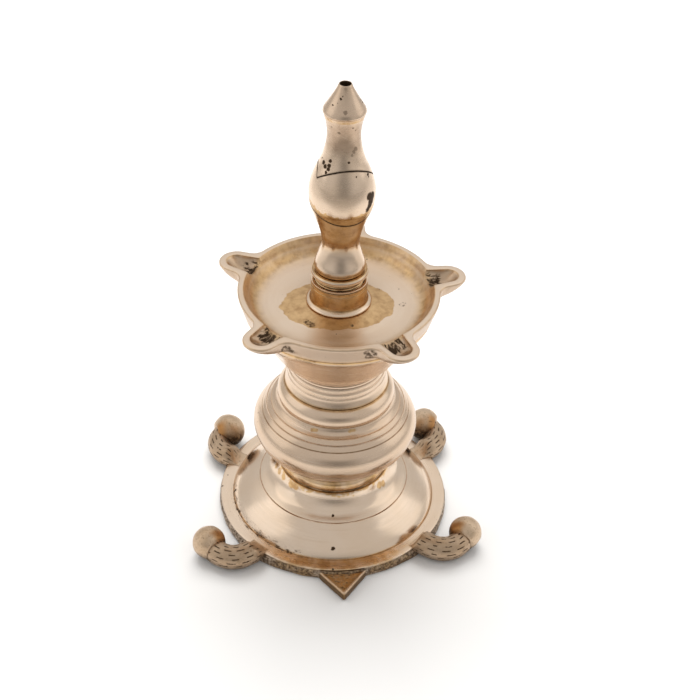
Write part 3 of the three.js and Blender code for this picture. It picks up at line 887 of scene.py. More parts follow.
def belly_outline():
    side = curve([(25.1, 33.95), (27.6, 35.7), (31, 38.6), (34.3, 41.9), (36.6, 45.2), (38.05, 49.2),
                  (38.3, 52.2), (37.8, 54.6), (36.6, 56.9), (34.75, 59.05)], 6)
    return [(22.2, 33.6), (24.8, 33.6), *side, (34.4, 59.45), (32.5, 59.55), *inset(side, 2.5)[::-4]]


def belly_dirt(f):
    return f.times(f.range(f.z, 34.6, 33.9, 0.0, 0.7), f.patches((0.3, 3, 0.6), 0.3, 0.6, 0.4, 1.0))


def belly_warm(f):
    return f.times(f.range(f.z, 40.5, 34.0), f.patches((0.15, 4, 0.6), 0.35, 0.65, 0.35, 0.9))


# Painted shade: the belly is painted darker, most towards its bottom.
def belly_painted_shade(f):
    return f.range(f.z, 60.0, 42.0, 0.2, 0.45)


BELLY_SPOTS = [(-36.4, -1.8, 57.1, 0.45), (-37.0, -6.0, 55.5, 0.25)]
belly_finish = turned_finish("belly_brass", belly_warm, [(34.5, 59.5, 0.4)], BELLY_SPOTS, belly_dirt,
                             belly_painted_shade, rough=0.24)
belly = turned("vase_belly", belly_outline(), FINE_STEPS)
stand_for(belly, "vase", "turned_brass", belly_finish, "vase_lower_shell")

# ---------------------------------------------------------------- vase: the upper shell


def shoulder_outline():
    slope = (-2.4, 1.8)
    side = [(34.35, 59.66), (34.0, 60.05), *curve([(33.5, 60.65), (32.7, 61.4)], 3)]
    side += [*groove(32.3, 61.8, slope, 0.55, -0.24), *curve([(31.8, 62.35), (30.7, 63.25)], 3)]
    side += [*groove(30.2, 63.65, slope, 0.55, -0.24)]
    side += [*curve([(29.6, 64.0), (28.3, 64.75), (27.3, 65.9), (26.75, 67.2)], 5), (26.55, 67.45)]
    side += curve([(26.85, 67.9), (27.15, 69.2), (27.1, 70.8), (26.4, 72.8), (25.0, 74.5), (23.95, 75.4)], 5)
    inside = [(21.4, 72.0), (23.9, 70.6), (24.3, 68.0), (24.6, 65.6), (26.6, 62.9), (29.8, 60.6)]
    return [(32.0, 59.62), (34.2, 59.62), *side, (23.75, 75.62), (23.4, 75.68), (21.4, 75.7), *inside]


SHOULDER_RINGS = [(34.45, 59.6, 0.4), (32.3, 61.75, 0.36), (30.2, 63.6, 0.36), (26.6, 67.4, 0.4),
                  (23.9, 75.6, 0.8)]
PATCHES = [(-12.7, -24.6, 65.5, 1.0), (-11.8, -25.0, 65.7, 1.1), (-10.9, -25.3, 65.9, 1.0),
           (4.3, -26.9, 66.1, 0.9), (5.3, -26.7, 66.2, 1.0), (6.3, -26.4, 66.2, 0.9)]


def shoulder_warm(f):
    return f.most([f.range(f.z, 74.6, 75.5, 0.0, 0.8), f.times(f.spots(PATCHES), 0.85)])


# Painted shade: the shoulder is painted darker, most low down.
def shoulder_painted_shade(f):
    return f.range(f.z, 62.0, 78.0, 0.26, 0.14)


shoulder_finish = turned_finish("shoulder_brass", shoulder_warm, SHOULDER_RINGS, painted_shade=shoulder_painted_shade,
                                rough=0.23)
shoulder = turned("vase_shoulder", shoulder_outline(), FINE_STEPS)
stand_for(shoulder, "vase", "turned_brass", shoulder_finish, "vase_upper_shell")

# ---------------------------------------------------------------- vase: the neck


def neck_outline():
    side = [*curve([(23.85, 76.15), (23.35, 77.4), (22.8, 78.9), (22.55, 80.2)], 4)]
    side += [*groove(22.45, 80.75, (0, 1), 0.6, -0.26), *curve([(22.4, 81.2), (22.5, 82.2), (22.3, 83.2)], 3)]
    side += [*groove(22.1, 83.75, (0, 1), 0.6, -0.26), *curve([(22.1, 84.2), (22.2, 85.1), (22.0, 86.0)], 3)]
    side += [(21.8, 86.3), (21.5, 86.4)]
    inside = [(15.7, 86.4), (15.7, 84.4), (19.4, 83.0), (20.0, 79.0)]
    return [(21.0, 75.8), (23.4, 75.8), (23.7, 75.95), *side, *inside]


def neck_warm(f):
    return f.times(f.range(f.z, 77.2, 76.0), 0.85)


# Painted shade: the neck is painted darker, most towards its top.
def neck_painted_shade(f):
    return f.range(f.z, 78.0, 86.0, 0.14, 0.24)


NECK_RINGS = [(23.8, 75.8, 0.7), (22.3, 80.75, 0.34), (22.0, 83.75, 0.34), (21.7, 86.5, 0.4)]
neck_finish = turned_finish("neck_brass", neck_warm, NECK_RINGS, painted_shade=neck_painted_shade, rough=0.24)
stand_for(turned("vase_neck_ring", neck_outline()), "vase", "turned_brass", neck_finish, "vase_neck")

# ---------------------------------------------------------------- cup

bottom, top = heights(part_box("bowl_washer"))
cup_seat = turned("cup_seat_ring", flat_ring(SEAT_BORE, 22.0, bottom - 0.15, top + 0.05))
stand_for(cup_seat, "bowl_seat", "inner_brass", neck_finish, "bowl_washer")

cup_thread = make_spigot("cup_thread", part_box("bowl_spigot"))
stand_for(cup_thread, "bowl", "inner_brass", inside_brass, "bowl_spigot")


def cup_outline():
    side = curve([(22.3, 88.2), (22.7, 89.0), (24.6, 90.6), (27.4, 93.8), (30.4, 98.3), (33, 102.6),
                  (35.6, 106.5), (37.8, 109.6), (40.2, 112.9), (41.7, 115.4), (42.2, 117.0)], 5)
    inside = [(38.95, 117.48), (38.9, 116.6), (37.2, 113.6), (33.6, 108.4), (30.2, 103.4), (26.4, 97.0)]
    inside += [(22.6, 92.2), (21, 91.0), (10, 91.0)]
    return [(10, 87.9), (22.1, 87.9), *side, (42.15, 117.4), (41.8, 117.48), *inside]


def cup_dirt(f):
    foot = f.range(f.z, 88.7, 88.1, 0.0, 0.7)
    soot = f.times(f.range(f.z, 112.5, 117.0), f.patches((0.17, 4, 0.6), 0.56, 0.7, 0.0, 0.35))
    return f.times(f.most([foot, soot]), f.patches((0.25, 3, 0.6), 0.3, 0.6, 0.6, 1.0))


def cup_warm(f):
    rim = f.range(f.z, 116.2, 117.0, 0.0, 0.9)
    return f.most([rim, f.times(f.range(f.z, 112.5, 117.2), f.patches((0.12, 3, 0.5), 0.35, 0.65, 0.1, 0.5))])


cup_finish = turned_finish("cup_brass", cup_warm, dirt_and_shade=cup_dirt, rough=0.22)
stand_for(turned("cup", cup_outline()), "bowl", "turned_brass", cup_finish, "bowl_cup")

# ---------------------------------------------------------------- tray

RIM = 126.6
RIM_RADIUS, BAND_RADIUS = 44.8, 43.1
FLARE_FOOT, FLARE_TOP = 120.0, 125.4
LIPS = 5
FIRST_LIP = math.radians(8.6)
HALF_SECTOR = 36  # degrees from the middle of a lip to midway between two
WALL_TOP, WALL_FOOT = 42.2, 40.6  # radius of the tray's inner wall
TROUGH_END, TROUGH_HALF, TROUGH_TIP = 49.9, 4.85, 54.75  # a trough's round end: centre, radius and tip
PER_RIM, PER_LIP = 30, 42
OUTSIDE_SPREAD, WALL_SPREAD = 12, 8.4  # degrees over which a lip's columns spread on a plain circle
IN_LIP = np.r_[np.zeros(PER_RIM), np.ones(PER_LIP + 1)]
LIPNESS = np.r_[np.zeros(PER_RIM - 8), smoothstep(0, 8, np.arange(8)) * 0.6,
                0.6 + 0.4 * smoothstep(0, 12, np.arange(PER_LIP + 1))]


def even(points, count):
    """A polyline resampled to a number of evenly spaced points, both ends kept."""
    p = np.array(points, float)
    s = np.r_[0, np.cumsum(np.hypot(*np.diff(p, axis=0).T))]
    t = np.linspace(0, s[-1], count)
    return np.stack([np.interp(t, s, p[:, 0]), np.interp(t, s, p[:, 1])], -1)


def arc(cx, cy, r, a, b, count=24):
    t = np.radians(np.linspace(a, b, count))
    return [(cx + r * math.cos(u), cy + r * math.sin(u)) for u in t]


def half_sector(rim_part, lip_part):
    """Half a sector of an outline, from midway between two lips to the tip of one."""
    return np.concatenate([even(rim_part, PER_RIM + 1)[:-1], even(lip_part, PER_LIP + 1)])


def outer_outline():
    """The rim's outer edge: a circle that flows through a fillet into each lip."""
    fillet, half = 6.2, 8.1
    cy = half + fillet
    cx = math.sqrt((RIM_RADIUS + fillet) ** 2 - cy**2)
    meet = math.degrees(math.atan2(cy, cx))
    rim = arc(0, 0, RIM_RADIUS, HALF_SECTOR, meet) + arc(cx, cy, fillet, 180 + meet, 270)
    return half_sector(rim, [(cx, half), (50.6, 7.85), *arc(50.3, 0, 7.8, 84, 0)])


def inner_outline():
    """The rim's inner edge: a circle that opens with two soft corners into each trough."""
    corner = (42.7, 5.85)
    rim = arc(0, 0, WALL_TOP, HALF_SECTOR, 9.6) + [(41.75, 6.45), (42.0, 6.05), corner]
    return half_sector(rim, [corner, (46, 5.35), (48.5, 5.0), *arc(TROUGH_END, 0, TROUGH_HALF, 80, 0)])


def fan(radius, split):
    """The same columns spread along a circle, with the lip's share up to split degrees from its middle."""
    rim, lip = np.linspace(HALF_SECTOR, split, PER_RIM + 1)[:-1], np.linspace(split, 0, PER_LIP + 1)
    t = np.radians(np.r_[rim, lip])
    return np.stack([radius * np.cos(t), radius * np.sin(t)], -1)


def hollow(xy):
    """Height, soot and gold of points inside the rim: the tray's wall, or in a lip the wick's trough."""
    rho, out, aside = np.hypot(*xy.T), xy[:, 0], np.abs(xy[:, 1])
    wall = np.interp(rho, [WALL_FOOT, 41.3, 41.9, WALL_TOP], [2.9, 1.55, 0.55, 0.12])
    half = np.interp(out, [40, 42.7, 46, 48.5, 50], [6.3, 5.85, 5.35, 5.0, 4.85])
    round_end = np.sqrt(np.clip(1 - ((out - TROUGH_END) / TROUGH_HALF) ** 2, 0.0001, 1))
    half = half * np.where(out > TROUGH_END, round_end, 1)
    across = np.clip(1 - (aside / np.maximum(half, 0.05)) ** 2, 0, 1)
    deep = np.interp(out, [WALL_FOOT, 43.5, 46, 49, 52, TROUGH_TIP], [2.9, 4.0, 4.5, 4.3, 2.6, 0.3])
    end = np.clip(np.clip((TROUGH_TIP - out) / TROUGH_HALF, 0, 1) * 3, 0, 1) ** 0.5
    trough = np.maximum(0.12 + deep * across**0.62 * end, np.where(rho < WALL_TOP, wall, 0.12))
    soot = IN_LIP * across**0.35 * (0.15 + 0.85 * smoothstep(50.0, 46.0, out))
    soot = soot * smoothstep(52.5, 49.5, out) * smoothstep(40.3, 41.2, out)
    return RIM - np.where(IN_LIP > 0, trough, wall), soot, 0.8 - 0.55 * IN_LIP * smoothstep(42.0, 44.0, out)


def flare(add, outer):
    """The tray's outside: a bowed wall from the band up to the rim, which runs out further under each lip."""
    root = fan(BAND_RADIUS, OUTSIDE_SPREAD)
    far = np.hypot(*(outer - root).T)
    middle = root + (outer - root) * (0.55 + 0.22 * LIPNESS)[:, None]
    middle_z = FLARE_FOOT + (FLARE_TOP - FLARE_FOOT) * (0.55 - 0.42 * smoothstep(2, 12, far))
    for t in np.linspace(0, 1, 13)[1:]:
        xy = root * (1 - t) ** 2 + middle * 2 * t * (1 - t) + outer * t * t
        z = FLARE_FOOT * (1 - t) ** 2 + middle_z * 2 * t * (1 - t) + FLARE_TOP * t * t
        add(xy, z, 0.55 * LIPNESS * (1 - t) * t * 2)


def half_tray():
    """Half a sector of the tray as stations, with the soot and the gold of each: from under its foot up the
    outside, over the rim and back to the foot."""
    stations, marks = [], []

    def add(xy, z, soot=0.0, gold=0.0):
        columns = (len(xy),)
        stations.append(np.concatenate([xy, np.broadcast_to(z, columns)[:, None]], 1))
        marks.append((np.broadcast_to(soot, columns), np.broadcast_to(gold, columns)))

    under = [(13, 116.45), (24, 115.9), (33.5, 115.5), (37.6, 116.3), (38.55, 117.1), (38.7, 117.55)]
    band = [(38.9, 117.6), (42.2, 117.6, 0.3), (42.45, 117.75, 0.18), (42.6, 118.1, 0.06)]
    for r, *z_and_soot in under + band + [(42.75, 118.8), (42.95, 119.5)]:
        add(fan(r, OUTSIDE_SPREAD), *z_and_soot)
    outer, inner = outer_outline(), inner_outline()
    flare(add, outer)

    toward = inner * 0.5 + outer * 0.5 - outer
    toward /= np.maximum(np.hypot(*toward.T), 1e-6)[:, None]
    crest = outer + toward * 0.75
    add(outer, 125.9)
    add(outer + toward * 0.12, 126.3, gold=0.6)
    add(outer + toward * 0.4, 126.52, gold=0.35)
    add(crest, RIM)
    for t in (0.4, 0.7):
        add(crest * (1 - t) + inner * t, RIM - 0.02 * t)
    add(inner - toward * 0.3, RIM - 0.02, gold=0.3)
    add(inner, RIM - 0.1, gold=0.8)

    sill = fan(WALL_FOOT, WALL_SPREAD)
    for t in (np.arange(1, 15) / 14) ** 1.15:
        xy = inner * (1 - t) + sill * t
        add(xy, *hollow(xy))
    wall = [(40.0, 122.9, 0.6), (39.2, 121.75, 0.8), (38.2, 120.6, 0.9)]
    wall += [(37.0, 119.75, 0.8), (35.4, 119.25, 0.45), (33.2, 119.0, 0.1)]
    for r, z, gold in wall:
        add(fan(r, WALL_SPREAD), z, gold=gold)
    floor = [(30, 118.85), (26.5, 118.85), (23.0, 119.05), (20, 119.4), (17.5, 119.85), (15.2, 120.25)]
    bore = [(13, 120.6), (12.75, 120.5), (12.7, 117), (13, 116.45)]
    for r, z in floor + bore:
        add(fan(r, OUTSIDE_SPREAD), z)
    return np.array(stations), np.array(marks)


def turned_by(points, turn):
    """Points turned round the lamp's axis."""
    c, s = math.cos(turn), math.sin(turn)
    return np.stack([points[..., 0] * c - points[..., 1] * s, points[..., 0] * s + points[..., 1] * c,
                     points[..., 2]], -1)


def make_tray():
    """The tray with its lips, as one skin: half a sector, mirrored, and repeated round the axis."""
    half, marks = half_tray()
    mirrored = half[:, ::-1] * np.array([1, -1, 1])
    sector = np.concatenate([half[:, :-1], mirrored[:, :-1]], 1)[:, ::-1]
    marks = np.concatenate([marks[:, :, :-1], marks[:, :, ::-1][:, :, :-1]], 2)[:, :, ::-1]
    points = np.concatenate([turned_by(sector, FIRST_LIP + lip * TAU / LIPS) for lip in range(LIPS)], 1)
    soot, gold = (np.tile(marks[:, i], LIPS) for i in (0, 1))
    return shaped("oil_dish", points, 38, {"soot": soot, "gold": gold})


def tray_warm(f):
    """A ragged oval stain round the socket, the wall and the band under the rim."""
    across, ahead = f.plus(f.x, 0.6), f.times(f.plus(f.y, 2.4), 1.38)
    edge = f.math("SQRT", f.plus(f.times(across, across), f.times(ahead, ahead)))
    stain = f.range(f.plus(edge, f.ragged((0.14, 5, 0.55), 7.0)), 25.6, 25.0)
    stain = f.times(stain, f.range(f.z, 121.5, 121.0), 0.85)
    wall = f.times(f.mark("gold"), f.patches((0.1, 3, 0.6), 0.3, 0.6, 0.7, 1.0))
    band = f.times(f.range(f.z, 119.4, 118.0), f.range(f.radius, 41.5, 42.2), 0.55)
    return f.most([stain, wall, band])


def band_painted_shade(f):
    """Painted shade: the tray's outside under the rim is painted darker than its floor."""
    return f.times(f.range(f.z, 126.5, 125.6), f.range(f.radius, 42.0, 43.2), 0.5)


TRAY_SPOTS = [(-3.0, -23.5, 119.0, 0.4), (19.0, 8.4, 119.3, 0.25), (27.9, 8.7, 118.9, 0.3),
              (15.6, 32.3, 119.4, 0.4)]
STAIN_SPOTS = [(-15.4, -14.3, 119.3, 1.6), (-13.0, -16.9, 119.2, 1.8), (-14.2, -15.8, 119.2, 1.6),
               (4.3, -18.5, 119.6, 1.0), (-25.4, -38.1, 122.8, 2.6), (-23.6, -37.6, 120.8, 2.4),
               (8.3, -43.7, 124.2, 1.8), (9.7, -43.9, 124.4, 1.9), (11.2, -44.2, 124.4, 1.8),
               (9.4, -42.8, 121.6, 2.2), (27.9, -3.5, 118.8, 1.4), (29.0, -2.2, 118.8, 1.0)]


def tray_dirt(f):
    along = f.join(f.times(f.radius, 0.3), f.times(f.turn, 44.0), f.times(f.z, 0.3))
    streaks = f.noise(0.75, 5, 0.7, along, 0.6)
    soot = f.range(f.plus(streaks, f.times(f.mark("soot"), 0.32)), 0.68, 0.82)
    soot = f.times(soot, f.range(f.mark("soot"), 0.08, 0.3))
    light_soot = f.times(f.mark("soot"), 0.16)
    socket_foot = f.times(f.range(f.radius, 13.7, 13.1), f.range(f.z, 121.5, 120.8), 0.5)
    specks = f.patches((1.4, 1, 0.5), 0.77, 0.81, 0.0, 0.6)
    stains = f.times(f.spots(STAIN_SPOTS), f.patches((0.6, 4, 0.6), 0.35, 0.6), 0.85)
    return f.most([soot, light_soot, socket_foot, specks, stains])


tray_finish = turned_finish("tray_brass", tray_warm, spots=TRAY_SPOTS, dirt_and_shade=tray_dirt, painted_shade=band_painted_shade,
                            rough=0.33, pale=SILVERY, lines=0.3, pits=0.7)
stand_for(make_tray(), "bowl", "turned_brass", tray_finish, "oil_tray")

# ---------------------------------------------------------------- socket


def socket_outline():
    """A tube with a bead of brazing round its foot, a groove near its mouth and a rounded mouth."""
    foot = rounded([(11.4, 116.4), (12.35, 116.4), (12.35, 120.7), (14.2, 120.5, 0.3), (14.75, 120.95, 0.5),
                    (14.2, 121.7, 0.5), (13.1, 122.2, 0.6)], False)
    mouth = [(12.45, 130.4), (12.5, 131.2), (12.35, 131.55), (12.1, 131.6), (11.6, 131.6), (11.4, 131.4)]
    return [*foot, (12.55, 123.1), (12.4, 123.9), *groove(12.4, 129.6, (0, 1), 0.4, -0.18), *mouth]


def socket_warm(f):
    return f.times(f.range(f.z, 121.9, 122.6), f.patches((0.16, 3, 0.6), 0.2, 0.6, 0.55, 0.95))


SOCKET_RINGS = [(12.75, 122.75, 0.45), (12.4, 129.6, 0.35), (12.4, 131.65, 0.35)]
socket_finish = turned_finish("socket_brass", socket_warm, SOCKET_RINGS, rough=0.21)
stand_for(turned("socket", socket_outline()), "bowl", "golden_brass", socket_finish, "centre_socket")

# ---------------------------------------------------------------- finial: washer, thread and flange

bottom, top = heights(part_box("finial_washer"))
bright_ring = turned("bright_ring", flat_ring(11.42, 12.6, bottom, top, 0.1, 0.25))
bright_ring_finish = turned_finish("bright_ring_brass", rough=0.14)
stand_for(bright_ring, "finial_seat", "turned_brass", bright_ring_finish, "finial_washer")


def thread_dirt(f):
    return f.range(f.radius, 10.75, 10.45, 0.0, 0.85)


FINIAL_THREAD = (11.05, 1.25, 0.6)  # radius, pitch and depth
finial_thread = threaded("finial_thread", *FINIAL_THREAD, *heights(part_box("finial_screw")))
thread_finish = turned_finish("thread_brass", lambda f: 0.8, dirt_and_shade=thread_dirt, rough=0.24)
stand_for(finial_thread, "finial", "golden_brass", thread_finish, "finial_screw")

FLANGE = [(0, 134.9), (11.9, 134.9, 0.4), (12.55, 135.9, 0.5), (12.5, 137.1, 0.5), (11.9, 137.8, 0.3),
          (0, 137.8)]
FLANGE_RINGS = [(11.7, 137.9, 0.35), (11.6, 134.9, 0.45)]


def flange_warm(f):
    return f.most([f.range(f.z, 135.9, 135.1, 0.0, 0.8), f.range(f.z, 137.2, 137.6, 0.0, 0.8)])


flange_finish = turned_finish("flange_brass", flange_warm, FLANGE_RINGS, pale=SILVERY)
stand_for(turned("flange", rounded(FLANGE, False)), "finial", "golden_brass", flange_finish, "finial_flange")

# ---------------------------------------------------------------- finial: stem, bulb and spire

FINIAL = [(11.3, 139.6), (11.25, 140.4), (10.9, 142), (9.6, 145.6), (8.5, 149.6), (8.3, 153), (8.9, 157),
          (10.3, 161.6), (11.8, 166), (13.6, 171.2), (14.2, 176.6), (13.7, 181.4), (11.8, 187.2),
          (9.4, 192.6), (7.7, 198.6), (7.1, 204), (7.5, 209), (8.95, 214.6)]
FINIAL_FOOT, SPIRE_TOP = 139.6, 214.6
finial_line = np.array(curve(FINIAL, 12))

# a seam's height on the axis, its slopes along X and Y, its height behind, and a step's angles and heights
LOWER_SEAM = (172.2, -0.1, 0.47, 173.6)
UPPER_SEAM = (183.0, 0.11, -0.86, 180.0,
              (10, 150, 181, 194, 202.6, 202.7), (182.2, 190.2, 190.1, 188.6, 186.4, 0))
SEAM_WALL = 2.4  # how far in the closed ends lie
SEAM_GROOVE, SEAM_LIP = 0.22, 0.12  # the groove's depth, and how far its rounded edge reaches
SEAM_RINGS = (0.3, 0.55)  # closer rings by a seam, for its dirt
BULB_GAP, SPIRE_GAP = 0.2, 0.24  # the seams' widths


def finial_radius(z):
    return np.interp(z, finial_line[:, 1], finial_line[:, 0])


def seam_height(seam, theta, level):
    """Height of a slanted seam round the finial. level picks what holds behind, and one side may step up."""
    height, along_x, along_y, back, *step = seam
    z = np.full_like(theta, height)
    for _ in range(40):
        r = finial_radius(z)
        plane = height + along_x * r * np.cos(theta) + along_y * r * np.sin(theta)
        z = 0.5 * z + 0.5 * level(plane, back)
    if step:
        z = np.maximum(z, np.interp(np.degrees(theta), *step, left=0, right=0))
    return z


def lower_seam(theta):
    return seam_height(LOWER_SEAM, theta, np.minimum)


def upper_seam(theta):
    return seam_height(UPPER_SEAM, theta, np.maximum)


def near_seam(distance):
    return smoothstep(0.5, 0.05, distance)


def finial_part(name, low_z, high_z, spans, low_seam, high_seam, below=(), above=()):
    """A turned part of the finial between two heights, each a number or a seam's function of the angle.
    below and above are more (radius, height) rings."""
    theta = np.arange(FINE_STEPS) / FINE_STEPS * TAU
    bottom = low_z(theta) if low_seam else np.full_like(theta, low_z)
    top = high_z(theta) if high_seam else np.full_like(theta, high_z)
    rows, seam = [], []

    def ring(radius, height, mark=0.0):
        rows.append(ring_at(radius, theta, height))
        seam.append(np.broadcast_to(mark, theta.shape))

    for r, z in below:
        ring(r, z)
    if low_seam:
        ring(finial_radius(bottom) - SEAM_WALL, bottom, 1)
        ring(finial_radius(bottom) - SEAM_GROOVE, bottom, 1)
    for i, t in enumerate(np.linspace(0, 1, spans)):
        at_low, at_high = low_seam and i == 0, high_seam and i == spans - 1
        z = bottom + (top - bottom) * t + SEAM_LIP * at_low - SEAM_LIP * at_high
        mark = np.zeros_like(theta)
        if low_seam:
            mark = np.maximum(mark, near_seam(z - bottom))
        if high_seam:
            mark = np.maximum(mark, near_seam(top - z))
        ring(finial_radius(z), z, mark)
        if at_low:
            for extra in SEAM_RINGS:
                ring(finial_radius(bottom + extra), bottom + extra, near_seam(extra))
        if high_seam and i == spans - 2:
            for extra in SEAM_RINGS[::-1]:
                ring(finial_radius(top - extra), top - extra, near_seam(extra))
    if high_seam:
        ring(finial_radius(top) - SEAM_GROOVE, top, 1)
        ring(finial_radius(top) - SEAM_WALL, top, 1)
    for r, z in above:
        ring(r, z)
    return close_ends(shaped(name, rows, 34, {"seam": seam}), 34)


def seam_dirt(f):
    return f.times(f.mark("seam"), f.patches((0.7, 3, 0.6), 0.2, 0.55, 0.7, 1.0))


def stem_warm(f):
    ends = f.most([f.range(f.z, 148.0, 156.0), f.range(f.z, 141.5, 139.8, 0.0, 0.9)])
    return f.times(ends, f.patches((0.12, 3, 0.6), 0.25, 0.65, 0.6, 0.9))


def stem_dirt(f):
    return f.most([seam_dirt(f), f.times(f.range(f.z, 139.9, 139.6), f.range(f.z, 139.0, 139.4), 0.7)])


STEM_FOOT = [(7.5, 138.1), (10.7, 138.1), (10.9, 138.3), (10.9, 139.35), (11.05, 139.5)]
stem_finish = turned_finish("stem_brass", stem_warm, dirt_and_shade=stem_dirt, rough=0.19)
stem = finial_part("stem", FINIAL_FOOT, lower_seam, 34, False, True, below=STEM_FOOT)
stand_for(stem, "finial", "golden_brass", stem_finish, "finial_stem")

BULB_SPOTS = [(10.6, -9.4, 179.4, 2.1), (11.9, -7.8, 178.6, 2.4), (11.4, -8.6, 176.6, 2.4),
              (11.0, -9.1, 174.9, 2.0), (10.1, -9.8, 173.4, 1.7), (9.8, -6.0, 187.9, 0.7),
              (10.0, -6.2, 186.9, 0.5), (4.7, -9.8, 189.2, 0.45)]


def bulb_warm(f):
    above = f.plus(f.minus(f.z, f.times(f.y, 0.3)), f.ragged((0.5, 4, 0.65), 6.0))
    return f.range(above, 176.0, 175.5, 0.0, 0.95)


bulb_finish = turned_finish("bulb_brass", bulb_warm, spots=BULB_SPOTS, dirt_and_shade=seam_dirt, rough=0.25)
bulb_foot = lambda theta: lower_seam(theta) + BULB_GAP
bulb = finial_part("bulb", bulb_foot, upper_seam, 26, True, True)
stand_for(bulb, "finial", "turned_brass", bulb_finish, "finial_belly")

SPIRE_SPOTS = [(-8.4, -4.0, 192.9, 1.15), (-5.9, -6.3, 194.9, 0.95), (-7.9, -5.6, 191.9, 1.15),
               (-6.4, -6.7, 192.9, 1.05), (-6.7, -7.2, 191.5, 1.05), (-8.9, -1.6, 193.6, 0.5),
               (-7.7, -7.2, 190.0, 0.75), (1.6, -8.4, 195.1, 0.6), (-5.3, -4.1, 219.2, 0.5),
               (-2.1, -4.5, 222.0, 0.6), (-1.4, -4.2, 223.0, 0.35), (-3.3, -4.9, 220.5, 0.3),
               (-5.5, -5.3, 209.9, 0.45), (2.9, -7.2, 210.4, 0.45), (4.1, -6.3, 208.8, 0.45),
               (6.4, -1.1, 219.8, 0.6), (7.0, -1.0, 218.7, 0.6), (-8.9, -2.6, 194.6, 0.4)]
FAINT_SPOTS = [(-0.5, -7.7, 217.5, 1.0), (-2.7, -6.8, 208.0, 0.8), (4.4, -6.0, 200.2, 1.1),
               (3.6, -6.7, 199.2, 1.0), (2.9, -7.3, 197.8, 0.8)]


def spire_warm(f):
    cap = f.range(f.size_of(f.minus(f.z, 213.2)), 1.0, 0.3, 0.0, 0.8)
    return f.times(cap, f.patches((0.3, 3, 0.6), 0.35, 0.6, 0.3, 1.0))


# Painted shade: the spire's narrow middle is painted darker in patches, and the cap above it a little darker.
def spire_painted_shade(f):
    middle = f.range(f.size_of(f.minus(f.z, 205.5)), 9.5, 4.0)
    cap = f.range(f.z, 214.5, 215.5, 0.0, 0.35)
    return f.most([cap, f.times(middle, f.patches((0.2, 3, 0.6), 0.3, 0.7, 0.55, 0.9))])


def spire_dirt(f):
    mouth = f.times(f.range(f.radius, 2.42, 2.3), f.range(f.z, 200.0, 201.0))
    return f.most([seam_dirt(f), mouth, f.times(f.spots(FAINT_SPOTS), 0.5)])


CAP_SLOPE = curve([(8.95, 215.3), (8.5, 216.3), (7.5, 217.9), (5.2, 221.6), (3.4, 224.9)], 5)
CAP_MOUTH = [(3.0, 225.8), (2.8, 226.35), (2.6, 226.6), (2.4, 226.55), (2.3, 226.3), (2.3, 214)]
SPIRE_CAP = [(9.05, 214.85), *CAP_SLOPE, *CAP_MOUTH]
spire_finish = turned_finish("spire_brass", spire_warm, [(8.8, 214.3, 0.5)], SPIRE_SPOTS, spire_dirt,
                             spire_painted_shade, rough=0.27)
spire_foot = lambda theta: upper_seam(theta) + SPIRE_GAP
spire = finial_part("spire", spire_foot, SPIRE_TOP, 60, True, False, above=SPIRE_CAP)
stand_for(spire, "finial", "turned_brass", spire_finish, "finial_spire")

# ---------------------------------------------------------------- the parts that are shown as they are

for name in ("dome_boss", "neck_nut"):
    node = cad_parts[name]
    node.data.materials.clear()
    node.data.materials.append(inside_brass)

# ---------------------------------------------------------------- floor

FLOOR_SHADE = (0.42, 0.415, 0.41)


def floor_finish():
    """Pale round the lamp, with painted shade far in front and at the sides: darker there, which the brass
    mirrors.
    """
    f = Finish("pale_floor")
    color = f.mix(f.patches((0.004, 2, 0.5), 0.3, 0.7), (0.86, 0.86, 0.86), (0.88, 0.88, 0.88))
    color = f.mix(f.range(f.y, -130, -340), color, FLOOR_SHADE)
    aside = f.minus(f.size_of(f.x), f.times(f.y, 0.25))
    color = f.mix(f.range(aside, 210, 480, 0.0, 0.5), color, FLOOR_SHADE)
    return f.done(color, 0.8, f.noise(0.5, 2, 0.5), 0.01, 0.2, 0.0)


bpy.ops.mesh.primitive_plane_add(size=6, location=(0, 0, -0.0002))
floor = bpy.context.object
floor.name = "floor"
floor.data.materials.append(floor_finish())

# ---------------------------------------------------------------- light

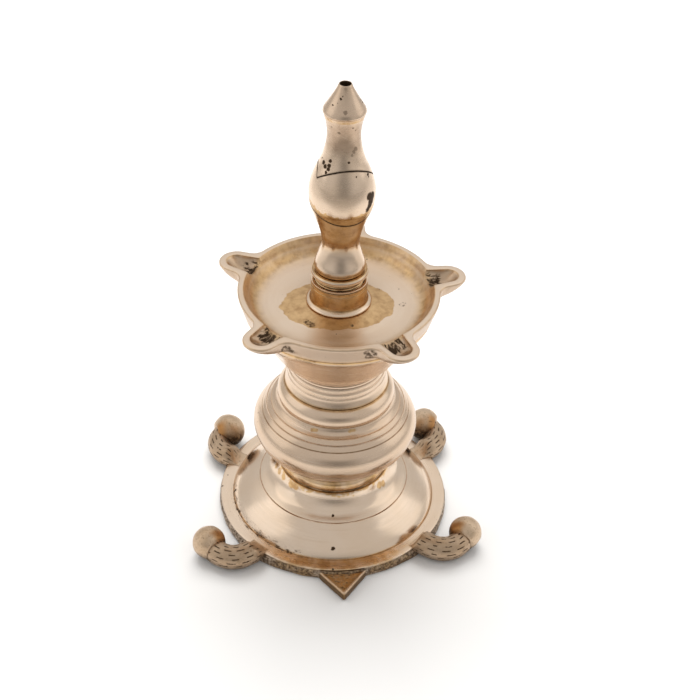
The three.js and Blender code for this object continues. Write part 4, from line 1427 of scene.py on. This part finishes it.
world = bpy.data.worlds.new("studio")
bpy.context.scene.world = world
world.use_nodes = True
sky = Nodes(world.node_tree)
background = sky.tree.nodes["Background"]
aside, back, up = sky.split(sky.tree.nodes.new("ShaderNodeTexCoord").outputs["Generated"])
ahead = sky.range(sky.times(back, -1.0), 0.1, 0.95)
facing = sky.times(ahead, sky.range(sky.size_of(aside), 0.75, 0.05), sky.range(up, 0.25, 0.62, 1.0, 0.0))
above = sky.times(sky.range(up, 0.3, 0.75), sky.range(back, -0.1, 0.6))
light = sky.plus(sky.minus(1.0, sky.times(facing, 0.58)), sky.times(above, 0.5))
sky.feed(background.inputs["Strength"], sky.times(light, 0.65))
background.inputs["Color"].default_value = (1.0, 0.985, 0.965, 1)


def softbox(name, place, aim, width, height, power):
    bpy.ops.object.light_add(type="AREA", location=place)
    lamp = bpy.context.object
    lamp.name = name
    lamp.data.shape = "RECTANGLE"
    lamp.data.size = width
    lamp.data.size_y = height
    lamp.data.energy = power
    lamp.data.color = (1, 0.985, 0.96)
    lamp.rotation_euler = (Vector(aim) - Vector(place)).to_track_quat("-Z", "Y").to_euler()
    return lamp


softbox("left_softbox", (-1.1, 0.05, 0.75), (0, 0, 0.08), 0.9, 1.1, 1.3)
softbox("right_softbox", (1.1, 0.05, 0.75), (0, 0, 0.08), 0.9, 1.1, 1.3)
fill = softbox("floor_fill", (0, 0.9, 1.6), (0, 0.35, 0), 1.6, 1.2, 29)
fill.visible_glossy = False

# ---------------------------------------------------------------- camera

HEADING, TILT, ROLL = (math.radians(degrees) for degrees in (-5.6, 52, 1.8))

camera_data = bpy.data.cameras.new("view")
camera = bpy.data.objects.new("view", camera_data)
bpy.context.scene.collection.objects.link(camera)
camera_data.sensor_width = 36
camera_data.lens = 74.06
camera_data.shift_x = 0.0183
camera_data.shift_y = -0.0011
camera_data.clip_start = 0.02
camera_data.clip_end = 30
camera.location = (-0.05046, -0.5145, 0.4961)
aim = Matrix.Rotation(HEADING, 4, "Z") @ Matrix.Rotation(TILT, 4, "X") @ Matrix.Rotation(ROLL, 4, "Z")
camera.rotation_euler = aim.to_euler()
bpy.context.scene.camera = camera
bpy.context.scene.view_settings.view_transform = "Standard"
